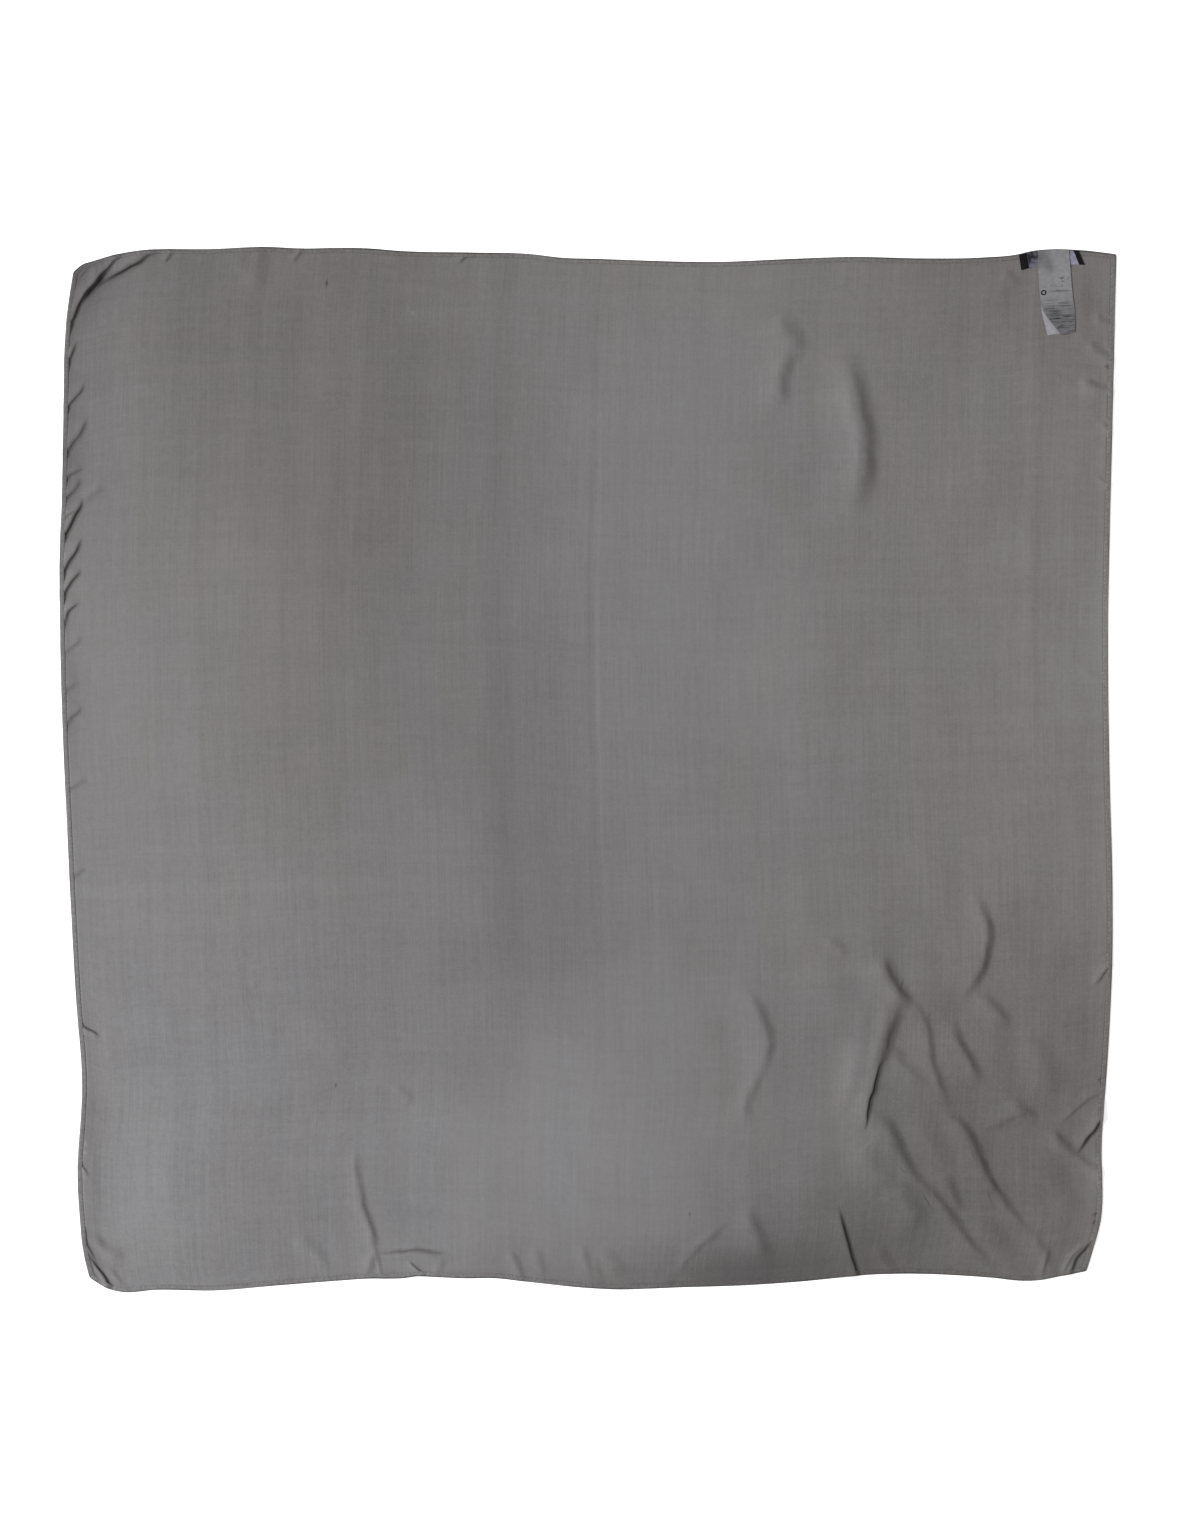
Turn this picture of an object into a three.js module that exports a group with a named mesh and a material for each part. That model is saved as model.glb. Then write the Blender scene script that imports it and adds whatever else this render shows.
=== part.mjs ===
// A square neckerchief of fine cloth, laid open and flat, with narrow hems and two sewn labels.
// Millimetres, +Z up. The origin lies under the middle of the piece, on the surface it rests on.
import * as THREE from "three";

// Cloth and hem sizes
const CLOTH_ACROSS = 890; // mean size from left edge to right edge, hems included
const CLOTH_ALONG = 879; // mean size from bottom edge to top edge, hems included
const CLOTH_WALL = 1; // thickness of the cloth
const EDGE_WANDER = 12; // how far a laid edge strays from a straight line
const HEM_WIDTH = 3.6; // turned and stitched hem, seen from above
const HEM_HEIGHT = 1.8; // the same, from the surface to its top
const SEAM_GAP = 0.3; // clearance between pieces that meet

// Fold sizes
const FOLD_RISE = 7; // height of the tallest fold
const FOLD_REACH = 20; // from a fold's crest to the foot of its widest flank
const FADE_SHARE = 0.35; // share of a fold's length over which it rises from nothing
const TUCK_RISE = 3.2; // height of the tallest tuck along the left edge
const TUCK_LENGTH = 35; // the longest of those tucks
const TUCK_REACH = 11; // from a tuck's crest to the foot of its gentle flank

// Label sizes
const LABEL_WALL = 1; // thickness of each label leaf
const LABEL_PLACE = 0.91; // where the labels start, as a share of the top edge
const LABEL_LAP = 1; // how far a leaf lies level past the piece under it
const LABEL_SLOPE = 3; // length over which a leaf comes down from the piece under it
const WOVEN_WIDTH = 51; // woven label, along the top edge
const WOVEN_DEPTH = 12.6; // woven label, from the top edge down
const WOVEN_END_LEFT = 6.4; // black left end of the woven label
const WOVEN_END_RIGHT = 4.6; // black right end of the woven label
const CARE_INSET = 16.3; // from the woven label's left end to the care label
const CARE_WIDTH = 26; // care label, along the top edge
const CARE_LENGTH = 72; // care label, from the top edge down

// Accuracy of the faceted surface
const GRID_CELLS = 256; // finest grid over the cloth, a power of two
const FACET_ERROR = 0.8; // how far a facet may leave the true surface

// A table is a line of column names and a row of numbers for each section or fold.
function table(names, rows) {
  const columns = names.split(" ");
  return rows.map((row) => Object.fromEntries(columns.map((name, place) => [name, row[place]])));
}

// Edges, from left to right or from bottom to top.
// along: share of the side; out: outward stray from the straight side, as a share of EDGE_WANDER
const LEFT_EDGE = table("along out", [
  [0, -1.32],
  [0.023, -0.93],
  [0.061, -0.64],
  [0.104, -0.5],
  [0.192, -0.82],
  [0.276, -0.39],
  [0.425, 0.18],
  [0.594, 0.68],
  [0.72, 0.77],
  [0.773, 0.63],
  [0.87, 0.5],
  [0.936, 0.39],
  [0.971, 0.14],
  [1, -0.18],
]);
const RIGHT_EDGE = table("along out", [
  [0, -1.57],
  [0.026, -1],
  [0.051, -0.56],
  [0.124, -0.52],
  [0.204, -0.12],
  [0.267, 0.13],
  [0.34, 0.27],
  [0.459, 0.09],
  [0.571, -0.07],
  [0.66, -0.05],
  [0.817, 0.21],
  [1, 0.52],
]);
const TOP_EDGE = table("along out", [
  [0, -1.07],
  [0.007, -0.64],
  [0.019, -0.36],
  [0.041, 0.11],
  [0.072, 0.43],
  [0.122, 0.46],
  [0.17, 0.64],
  [0.227, 0.5],
  [0.266, 0.57],
  [0.323, 0.29],
  [0.438, 0.11],
  [0.473, -0.18],
  [0.524, -0.24],
  [0.591, -0.43],
  [0.658, -0.38],
  [0.697, -0.2],
  [0.758, -0.09],
  [0.797, -0.19],
  [0.906, 0.07],
  [0.924, 0.36],
  [0.962, 0.44],
  [0.977, 0.29],
  [1, 0.12],
]);
const BOTTOM_EDGE = table("along out", [
  [0, -0.21],
  [0.01, 0.25],
  [0.022, 0.64],
  [0.038, 0.79],
  [0.062, 0.62],
  [0.111, 0.71],
  [0.154, 0.46],
  [0.231, 0.07],
  [0.272, -0.18],
  [0.312, -0.21],
  [0.33, -0.36],
  [0.362, -0.19],
  [0.396, -0.26],
  [0.44, 0.04],
  [0.522, 0.57],
  [0.593, 0.43],
  [0.656, 0.29],
  [0.712, 0.02],
  [0.797, -0.52],
  [0.891, -0.36],
  [0.947, -0.04],
  [0.977, -0.39],
  [1, -0.71],
]);

// Folds, each a crest through three points with a flank on each side.
// x and y: shares across and up the cloth; rise: share of FOLD_RISE; left and right: reach of the
// flank on that side of the crest, walking from the first point, as a share of FOLD_REACH;
// open: how much of the rise is left at the first point and at the last point
const FOLDS = table("x0 y0 x1 y1 x2 y2 rise left right open0 open2", [
  // top left corner
  [0.044, 1, 0.02, 0.964, 0, 0.927, 0.42, 0.2, 0.7, 1, 1],
  [0.071, 1, 0.053, 0.985, 0.036, 0.978, 0.3, 0.2, 0.4, 1, 0],
  // upper right ridges
  [0.748, 0.902, 0.775, 0.809, 0.754, 0.735, 0.9, 0.45, 1, 0, 0],
  [0.686, 0.943, 0.695, 0.909, 0.691, 0.865, 0.35, 0.5, 0.9, 0, 0],
  // lower right cluster
  [0.868, 0.375, 0.886, 0.327, 0.856, 0.275, 0.75, 0.4, 0.8, 0, 0],
  [0.774, 0.315, 0.811, 0.247, 0.848, 0.165, 0.7, 0.45, 0.9, 0, 0],
  [0.792, 0.267, 0.771, 0.207, 0.765, 0.146, 1, 0.35, 1, 0, 0],
  [0.855, 0.23, 0.868, 0.208, 0.883, 0.189, 0.35, 0.4, 0.5, 0, 0],
  [0.78, 0.149, 0.834, 0.07, 0.902, 0.007, 0.6, 0.5, 0.8, 0, 0.3],
  [0.857, 0.149, 0.886, 0.117, 0.925, 0.053, 0.45, 0.4, 0.6, 0, 0],
  [1, 0.156, 0.986, 0.139, 0.973, 0.119, 0.5, 0.25, 0.4, 1, 0],
  [0.745, 0.066, 0.756, 0.036, 0.767, 0, 0.6, 0.25, 0.6, 0, 1],
  [0.991, 0.035, 0.983, 0.023, 0.981, 0, 0.35, 0.2, 0.3, 0.2, 1],
  [0.95, 0.031, 0.95, 0.019, 0.952, 0, 0.25, 0.3, 0.3, 0, 1],
  // lower middle
  [0.647, 0.278, 0.679, 0.232, 0.656, 0.194, 0.5, 0.8, 0.45, 0, 0],
  [0.637, 0.067, 0.603, 0.04, 0.579, 0.011, 0.3, 0.5, 0.5, 0, 0],
  [0.654, 0.068, 0.671, 0.038, 0.683, 0, 0.3, 0.4, 0.5, 0, 1],
  [0.272, 0.096, 0.287, 0.045, 0.279, 0.01, 0.5, 0.25, 0.5, 0, 0.2],
  [0.296, 0.024, 0.328, 0.027, 0.362, 0.024, 0.35, 0.4, 0.2, 0, 0],
  // bottom left corner
  [0.015, 0.054, 0.025, 0.041, 0.042, 0.038, 0.25, 0.4, 0.25, 0, 0],
  [0, 0.047, 0.005, 0.035, 0.011, 0.024, 0.3, 0.2, 0.2, 1, 0],
  [0.005, 0.019, 0.013, 0.013, 0.02, 0, 0.35, 0.25, 0.2, 0, 1],
]);

// Small tucks that run inward from the left edge.
// up: share of the side; length, rise: shares of TUCK_LENGTH and TUCK_RISE; lean: degrees
const LEFT_TUCKS = table("up length rise lean", [
  [0.899, 0.7, 0.7, 68],
  [0.857, 0.75, 0.75, 59],
  [0.815, 1, 0.7, 60],
  [0.779, 0.7, 0.45, 32],
  [0.733, 1, 1, 61],
  [0.697, 0.95, 0.85, 61],
  [0.672, 0.9, 0.75, 58],
  [0.647, 0.6, 0.6, 58],
  [0.617, 0.65, 0.6, 50],
  [0.545, 0.55, 0.45, 54],
  [0.487, 0.5, 0.35, 23],
  [0.399, 0.4, 0.4, 35],
  [0.249, 0.42, 0.7, -25],
  [0.112, 0.33, 0.45, -51],
]);

// Care label leaves, from the top edge down.
// down: share of CARE_LENGTH; left and right: sides of the leaf, as shares of CARE_WIDTH
const CARE_FRONT_SIDES = table("down left right", [
  [0, 0, 1],
  [0.16, 0.03, 1.04],
  [0.44, 0.06, 1.11],
  [0.7, 0.14, 1.17],
  [0.79, 0.3, 1.2],
  [0.89, 0.47, 1.22],
  [1.01, 0.75, 1.21],
]);
const CARE_BACK_SIDES = table("down left right", [
  [0, 0.03, 0.97],
  [0.44, 0.09, 1.06],
  [0.74, 0.1, 1.14],
  [1.03, 0.32, 1.17],
]);
const CARE_SKEW = 0.04; // how much shorter the care label is along its right side, as a share

// Straight stretches of the cloth inside its hems
const EDGE_TRIM = HEM_WIDTH + SEAM_GAP;
const PANEL_ACROSS = CLOTH_ACROSS - 2 * EDGE_TRIM;
const PANEL_ALONG = CLOTH_ALONG - 2 * EDGE_TRIM;

// A smooth curve through one column of a table, read at a share of the side.
function smoothColumn(rows, column) {
  const places = rows.map((row) => row.along);
  const values = rows.map((row) => row[column]);
  const curve = new THREE.CubicInterpolant(places, values, 1, new Float32Array(1));
  return (share) => curve.evaluate(share)[0];
}

const leftOut = smoothColumn(LEFT_EDGE, "out");
const rightOut = smoothColumn(RIGHT_EDGE, "out");
const topOut = smoothColumn(TOP_EDGE, "out");
const bottomOut = smoothColumn(BOTTOM_EDGE, "out");

// A straight-line reading between the rows of a table.
function readBetween(rows, place, column, share) {
  const next = rows.findIndex((row) => row[place] >= share);
  if (next <= 0) {
    return rows[next === 0 ? 0 : rows.length - 1][column];
  }
  const before = rows[next - 1];
  const after = rows[next];
  const part = (share - before[place]) / (after[place] - before[place]);
  return THREE.MathUtils.lerp(before[column], after[column], part);
}

// One crest, kept as a chain of short straight steps in the flat cloth.
function crestPath(points, details) {
  const steps = new THREE.SplineCurve(points).getPoints(10);
  const reach = Math.max(details.left, details.right);
  const box = new THREE.Box2().setFromPoints(steps).expandByScalar(reach);
  return { ...details, steps, box };
}

function foldCrest(row) {
  const points = [
    new THREE.Vector2(row.x0 * PANEL_ACROSS, row.y0 * PANEL_ALONG),
    new THREE.Vector2(row.x1 * PANEL_ACROSS, row.y1 * PANEL_ALONG),
    new THREE.Vector2(row.x2 * PANEL_ACROSS, row.y2 * PANEL_ALONG),
  ];
  return crestPath(points, {
    rise: row.rise * FOLD_RISE,
    left: row.left * FOLD_REACH,
    right: row.right * FOLD_REACH,
    open: [row.open0, row.open2],
  });
}

// A tuck starts on the left edge. Its steep flank is on the lower right.
function tuckCrest(row) {
  const start = new THREE.Vector2(0, row.up * PANEL_ALONG);
  const lean = THREE.MathUtils.degToRad(row.lean);
  const run = new THREE.Vector2(Math.cos(lean), Math.sin(lean)).multiplyScalar(row.length * TUCK_LENGTH);
  const middle = start.clone().addScaledVector(run, 0.5);
  const end = start.clone().add(run);
  return crestPath([start, middle, end], {
    rise: row.rise * TUCK_RISE,
    left: TUCK_REACH,
    right: TUCK_REACH / 3,
    open: [1, 0],
  });
}

const CRESTS = [...FOLDS.map(foldCrest), ...LEFT_TUCKS.map(tuckCrest)];

// The nearest step of a crest: its distance, its side and how far along the crest it lies.
function nearestOnCrest(crest, point) {
  const last = crest.steps.length - 1;
  let nearest = { distance: Infinity, onLeft: true, along: 0 };
  for (let step = 0; step < last; step += 1) {
    const from = crest.steps[step];
    const runX = crest.steps[step + 1].x - from.x;
    const runY = crest.steps[step + 1].y - from.y;
    const offX = point.x - from.x;
    const offY = point.y - from.y;
    const part = THREE.MathUtils.clamp((offX * runX + offY * runY) / (runX ** 2 + runY ** 2), 0, 1);
    const distance = Math.hypot(offX - part * runX, offY - part * runY);
    if (distance < nearest.distance) {
      nearest = { distance, onLeft: runX * offY - runY * offX > 0, along: (step + part) / last };
    }
  }
  return nearest;
}

// Height that one fold adds: full on the crest, nothing past the foot of its flanks.
function crestHeight(crest, point) {
  if (!crest.box.containsPoint(point)) {
    return 0;
  }
  const { distance, onLeft, along } = nearestOnCrest(crest, point);
  const off = distance / (onLeft ? crest.left : crest.right);
  if (off >= 1) {
    return 0;
  }
  const fadeIn = THREE.MathUtils.smoothstep(along, 0, FADE_SHARE);
  const fadeOut = THREE.MathUtils.smoothstep(1 - along, 0, FADE_SHARE);
  const startShare = THREE.MathUtils.lerp(crest.open[0], 1, fadeIn);
  const endShare = THREE.MathUtils.lerp(crest.open[1], 1, fadeOut);
  return crest.rise * startShare * endShare * (1 - off ** 2) ** 2;
}

// Underside of the cloth at a share across and a share up.
function clothPoint(across, up) {
  const left = -PANEL_ACROSS / 2 - EDGE_WANDER * leftOut(up);
  const right = PANEL_ACROSS / 2 + EDGE_WANDER * rightOut(up);
  const bottom = -PANEL_ALONG / 2 - EDGE_WANDER * bottomOut(across);
  const top = PANEL_ALONG / 2 + EDGE_WANDER * topOut(across);
  const flat = new THREE.Vector2(across * PANEL_ACROSS, up * PANEL_ALONG);
  const height = CRESTS.reduce((sum, crest) => sum + crestHeight(crest, flat), 0);
  const x = THREE.MathUtils.lerp(left, right, across);
  const y = THREE.MathUtils.lerp(bottom, top, up);
  return new THREE.Vector3(x, y, height);
}

// The finest grid of cloth points, as rows from bottom to top.
function clothGrid() {
  const shares = Array.from({ length: GRID_CELLS + 1 }, (_, place) => place / GRID_CELLS);
  return shares.map((up) => shares.map((across) => clothPoint(across, up)));
}

// Says at which grid points the triangles have to split. It goes from the finest level up, and a
// coarse triangle splits wherever a finer one inside it or beside it does, so that no crack opens.
function markSplits(grid) {
  const marks = grid.map((row) => new Uint8Array(row.length));
  const isMarked = (x, y) => Boolean(marks[y]?.[x]);
  const bend = (x, y, dx, dy) => {
    const chordMiddle = grid[y - dy][x - dx].clone().add(grid[y + dy][x + dx]).multiplyScalar(0.5);
    return chordMiddle.distanceTo(grid[y][x]);
  };
  for (let step = 1; step < GRID_CELLS; step *= 2) {
    const half = step / 2;
    for (let y = 0; y <= GRID_CELLS; y += step) {
      const evenRow = (y / step) % 2 === 0;
      for (let x = evenRow ? step : 0; x <= GRID_CELLS; x += 2 * step) {
        const corners = [[-half, -half], [half, -half], [-half, half], [half, half]];
        const finer = step > 1 && corners.some(([dx, dy]) => isMarked(x + dx, y + dy));
        const leaves = bend(x, y, evenRow ? step : 0, evenRow ? 0 : step) > FACET_ERROR;
        marks[y][x] = finer || leaves ? 1 : 0;
      }
    }
    for (let y = step; y < GRID_CELLS; y += 2 * step) {
      for (let x = step; x < GRID_CELLS; x += 2 * step) {
        const sides = [[-step, 0], [step, 0], [0, -step], [0, step]];
        const finer = sides.some(([dx, dy]) => isMarked(x + dx, y + dy));
        const leansRight = (x / step) % 4 === (y / step) % 4;
        const leaves = bend(x, y, step, leansRight ? step : -step) > FACET_ERROR;
        marks[y][x] = finer || leaves ? 1 : 0;
      }
    }
  }
  return marks;
}

// Right-angled triangles over the whole grid, as grid places in anticlockwise order.
function splitTriangles(marks) {
  const triangles = [];
  const visit = (from, to, apex) => {
    const middle = [(from[0] + to[0]) / 2, (from[1] + to[1]) / 2];
    if (Number.isInteger(middle[0]) && Number.isInteger(middle[1]) && marks[middle[1]][middle[0]]) {
      visit(apex, from, middle);
      visit(to, apex, middle);
    } else {
      triangles.push([from, apex, to]);
    }
  };
  const low = [0, 0];
  const high = [GRID_CELLS, GRID_CELLS];
  visit(low, high, [GRID_CELLS, 0]);
  visit(high, low, [0, GRID_CELLS]);
  return triangles;
}

// A closed solid from points and faces.
function solid(points, faces) {
  const geometry = new THREE.BufferGeometry().setFromPoints(points);
  geometry.setIndex(faces.flat());
  geometry.computeVertexNormals();
  return geometry;
}

function lifted(point, height) {
  return new THREE.Vector3(point.x, point.y, point.z + height);
}

// Two triangles for each stretch of wall between a lower ring and the ring above it.
function ringWall(ring, raise) {
  return ring.flatMap((here, place) => {
    const next = ring[(place + 1) % ring.length];
    return [[here, next, next + raise], [here, next + raise, here + raise]];
  });
}

// The cloth: its split triangles, and the places of its edge points in order, anticlockwise.
function layCloth() {
  const grid = clothGrid();
  const triangles = splitTriangles(markSplits(grid));
  const places = new Map();
  const points = [];
  const pointAt = ([x, y]) => {
    const key = y * (GRID_CELLS + 1) + x;
    if (!places.has(key)) {
      places.set(key, points.length);
      points.push(grid[y][x]);
    }
    return places.get(key);
  };
  const faces = triangles.map((corners) => corners.map(pointAt));
  const used = [...places.keys()].map((key) => [key % (GRID_CELLS + 1), Math.floor(key / (GRID_CELLS + 1))]);
  const side = (isOnSide, order) => used.filter(isOnSide).sort(order).map(pointAt);
  const edges = {
    bottom: side(([, y]) => y === 0, (p, q) => p[0] - q[0]),
    right: side(([x]) => x === GRID_CELLS, (p, q) => p[1] - q[1]),
    top: side(([, y]) => y === GRID_CELLS, (p, q) => q[0] - p[0]),
    left: side(([x]) => x === 0, (p, q) => q[1] - p[1]),
  };
  return { points, faces, edges };
}

const cloth = layCloth();

function clothPanel() {
  const raise = cloth.points.length;
  const points = [...cloth.points, ...cloth.points.map((point) => lifted(point, CLOTH_WALL))];
  const under = cloth.faces.map(([a, b, c]) => [a, c, b]);
  const over = cloth.faces.map((face) => face.map((place) => place + raise));
  const ring = Object.values(cloth.edges).flatMap((edge) => edge.slice(0, -1));
  return solid(points, [...under, ...over, ...ringWall(ring, raise)]);
}

// A bar with the given section, carried through a list of sections of as many points each.
function loft(sections) {
  const size = sections[0].length;
  const faces = [];
  for (let station = 0; station < sections.length - 1; station += 1) {
    const start = station * size;
    const ring = sections[0].map((_, place) => start + place);
    faces.push(...ringWall(ring, size));
  }
  const last = (sections.length - 1) * size;
  for (let place = 1; place < size - 1; place += 1) {
    faces.push([0, place + 1, place], [last, last + place, last + place + 1]);
  }
  return solid(sections.flat(), faces);
}

// Hem section, anticlockwise seen from where the hem starts.
// out and up: shares of HEM_WIDTH and HEM_HEIGHT
const HEM_SECTION = table("out up", [
  [0.12, 0],
  [0, 0.5],
  [0.22, 1],
  [0.78, 1],
  [1, 0.5],
  [0.88, 0],
]);

function outwardNormal(from, to) {
  return new THREE.Vector2(to.y - from.y, from.x - to.x).normalize();
}

// Section of the hem at one edge point, on the mitre between the stretches before and after it.
function hemSection(before, here, after) {
  const into = outwardNormal(before, here);
  const onward = outwardNormal(here, after);
  const mitre = into.clone().add(onward).divideScalar(1 + into.dot(onward));
  return HEM_SECTION.map(({ out, up }) => {
    const reach = SEAM_GAP + out * HEM_WIDTH;
    return new THREE.Vector3(here.x + mitre.x * reach, here.y + mitre.y * reach, here.z + up * HEM_HEIGHT);
  });
}

// Moves an end section back along its own side, so that two hems keep a gap at the corner.
function pullBack(section, corner, next) {
  const pull = next.clone().sub(corner).setZ(0).setLength(SEAM_GAP);
  section.forEach((point) => point.add(pull));
}

// The hem of one side. It keeps SEAM_GAP to the cloth, and its ends are mitred to its neighbours.
function hem(name) {
  const order = ["bottom", "right", "top", "left"];
  const turn = order.indexOf(name);
  const before = cloth.edges[order[(turn + 3) % 4]].at(-2);
  const after = cloth.edges[order[(turn + 1) % 4]][1];
  const line = [before, ...cloth.edges[name], after].map((place) => cloth.points[place]);
  const sections = line.slice(1, -1).map((here, place) => hemSection(line[place], here, line[place + 2]));
  pullBack(sections[0], line[1], line[2]);
  pullBack(sections.at(-1), line.at(-2), line.at(-3));
  return loft(sections);
}

// Top edge of the cloth, hem included, at a distance from the middle of the panel.
const topLeftX = -PANEL_ACROSS / 2 - EDGE_WANDER * leftOut(1);
const topRightX = PANEL_ACROSS / 2 + EDGE_WANDER * rightOut(1);

function topEdgeY(x) {
  const share = (x - topLeftX) / (topRightX - topLeftX);
  return PANEL_ALONG / 2 + EDGE_TRIM + EDGE_WANDER * topOut(share);
}

// Underside heights of the leaves. down is the distance from the top edge.
const HEM_SIDE = EDGE_TRIM + LABEL_LAP;
const WOVEN_SIDE = WOVEN_DEPTH + LABEL_LAP;
const LEAF_STEP = LABEL_WALL + SEAM_GAP;

function heightOnCloth(down) {
  const part = THREE.MathUtils.clamp((down - HEM_SIDE) / LABEL_SLOPE, 0, 1);
  return THREE.MathUtils.lerp(HEM_HEIGHT, CLOTH_WALL, part) + SEAM_GAP;
}

function heightOverWoven(down) {
  const part = THREE.MathUtils.clamp((down - WOVEN_SIDE) / LABEL_SLOPE, 0, 1);
  return heightOnCloth(down) + THREE.MathUtils.lerp(LEAF_STEP, 0, part);
}

// A leaf of LABEL_WALL over rows of underside points that run from left to right, top row first.
function leaf(rows) {
  const width = rows[0].length;
  const under = rows.flat();
  const raise = under.length;
  const faces = [];
  for (let row = 0; row < rows.length - 1; row += 1) {
    for (let place = 0; place < width - 1; place += 1) {
      const topLeft = row * width + place;
      const bottomLeft = topLeft + width;
      const pair = [[topLeft, bottomLeft, bottomLeft + 1], [topLeft, bottomLeft + 1, topLeft + 1]];
      faces.push(...pair.map((face) => face.map((corner) => corner + raise)));
      faces.push(...pair.map(([a, b, c]) => [a, c, b]));
    }
  }
  const count = rows.length;
  const downLeft = rows.map((_, row) => row * width);
  const alongBottom = rows[0].map((_, place) => (count - 1) * width + place);
  const upRight = rows.map((_, row) => (count - row) * width - 1);
  const alongTop = rows[0].map((_, place) => width - 1 - place);
  const ring = [downLeft, alongBottom, upRight, alongTop].flatMap((line) => line.slice(0, -1));
  faces.push(...ringWall(ring, raise));
  return solid([...under, ...under.map((point) => lifted(point, LABEL_WALL))], faces);
}

function spread(start, end, steps) {
  return Array.from({ length: steps + 1 }, (_, place) => THREE.MathUtils.lerp(start, end, place / steps));
}

const wovenLeftX = THREE.MathUtils.lerp(topLeftX, topRightX, LABEL_PLACE);
const LEFT_END_LEAN = 0.17; // how far the label's left end drifts right for each step down
const RIGHT_END_LEAN = 0.43; // the same for its right end

// One stretch of the woven label, from one distance along it to another.
function wovenStretch(start, end) {
  const downs = [0, HEM_SIDE, HEM_SIDE + LABEL_SLOPE, WOVEN_DEPTH];
  const rows = downs.map((down) => spread(start, end, 4).map((along) => {
    const lean = THREE.MathUtils.lerp(LEFT_END_LEAN, RIGHT_END_LEAN, along / WOVEN_WIDTH);
    const x = wovenLeftX + along + lean * down;
    return new THREE.Vector3(x, topEdgeY(x) - down, heightOnCloth(down));
  }));
  return leaf(rows);
}

// One leaf of the care label, lying raise above the leaf under it.
function careLeaf(sides, raise) {
  const bends = [0, HEM_SIDE, HEM_SIDE + LABEL_SLOPE, WOVEN_SIDE, WOVEN_SIDE + LABEL_SLOPE];
  const ends = sides.map((row) => row.down * CARE_LENGTH).filter((down) => down > bends.at(-1) + 1);
  const rows = [...bends, ...ends].map((down) => {
    const share = down / CARE_LENGTH;
    const left = readBetween(sides, "down", "left", share) * CARE_WIDTH;
    const right = readBetween(sides, "down", "right", share) * CARE_WIDTH;
    return spread(left, right, 3).map((along, place) => {
      const skewed = down * (1 - (CARE_SKEW * place) / 3);
      const x = wovenLeftX + CARE_INSET + along;
      return new THREE.Vector3(x, topEdgeY(x) - skewed, heightOverWoven(skewed) + raise);
    });
  });
  return leaf(rows);
}

// Finishes
const clothFinish = { color: 0x7a7674, roughness: 0.95, metalness: 0 };
const hemFinish = { color: 0x625e5c, roughness: 0.95, metalness: 0 };
const blackFinish = { color: 0x1d1c1f, roughness: 0.85, metalness: 0 };
const lilacFinish = { color: 0x9d9bab, roughness: 0.6, metalness: 0 };
const satinFinish = { color: 0x8d8b90, roughness: 0.45, metalness: 0 };
const whiteFinish = { color: 0xbab8bd, roughness: 0.45, metalness: 0 };

function piece(name, geometry, finish) {
  const mesh = new THREE.Mesh(geometry, new THREE.MeshStandardMaterial(finish));
  mesh.name = name;
  return mesh;
}

function clothPieces() {
  const group = new THREE.Group();
  group.add(piece("cloth_panel", clothPanel(), clothFinish));
  for (const side of ["top", "right", "bottom", "left"]) {
    group.add(piece(`hem_${side}`, hem(side), hemFinish));
  }
  return group;
}

function labelPieces() {
  const group = new THREE.Group();
  const rightStart = WOVEN_WIDTH - WOVEN_END_RIGHT;
  const leftEnd = wovenStretch(0, WOVEN_END_LEFT);
  const field = wovenStretch(WOVEN_END_LEFT + SEAM_GAP, rightStart - SEAM_GAP);
  const rightEnd = wovenStretch(rightStart, WOVEN_WIDTH);
  group.add(piece("woven_label_end_left", leftEnd, blackFinish));
  group.add(piece("woven_label_field", field, lilacFinish));
  group.add(piece("woven_label_end_right", rightEnd, blackFinish));
  group.add(piece("care_label_back", careLeaf(CARE_BACK_SIDES, 0), whiteFinish));
  group.add(piece("care_label_front", careLeaf(CARE_FRONT_SIDES, LEAF_STEP), satinFinish));
  return group;
}

// The whole piece, moved so that its middle is over the origin.
const neckerchief = new THREE.Group();
neckerchief.add(clothPieces(), labelPieces());
const middle = new THREE.Box3().setFromObject(neckerchief).getCenter(new THREE.Vector3());
neckerchief.position.set(-middle.x, -middle.y, 0);

export default neckerchief;
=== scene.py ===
# %% [markdown]
# # A neckerchief laid open and flat
#
# The real thing is one square of very fine, slightly translucent cloth. Its four edges are
# turned over twice and stitched, and two small labels are sewn in near one corner. It lies flat
# and is seen from straight above, so its whole character is in low forms: a wavy outline, soft
# folds a few millimetres high, small tucks along one edge, and the threads of the weave.
#
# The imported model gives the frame: where the cloth, its hems and its labels are. Everything
# below is a finer surface in the same place.

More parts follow.
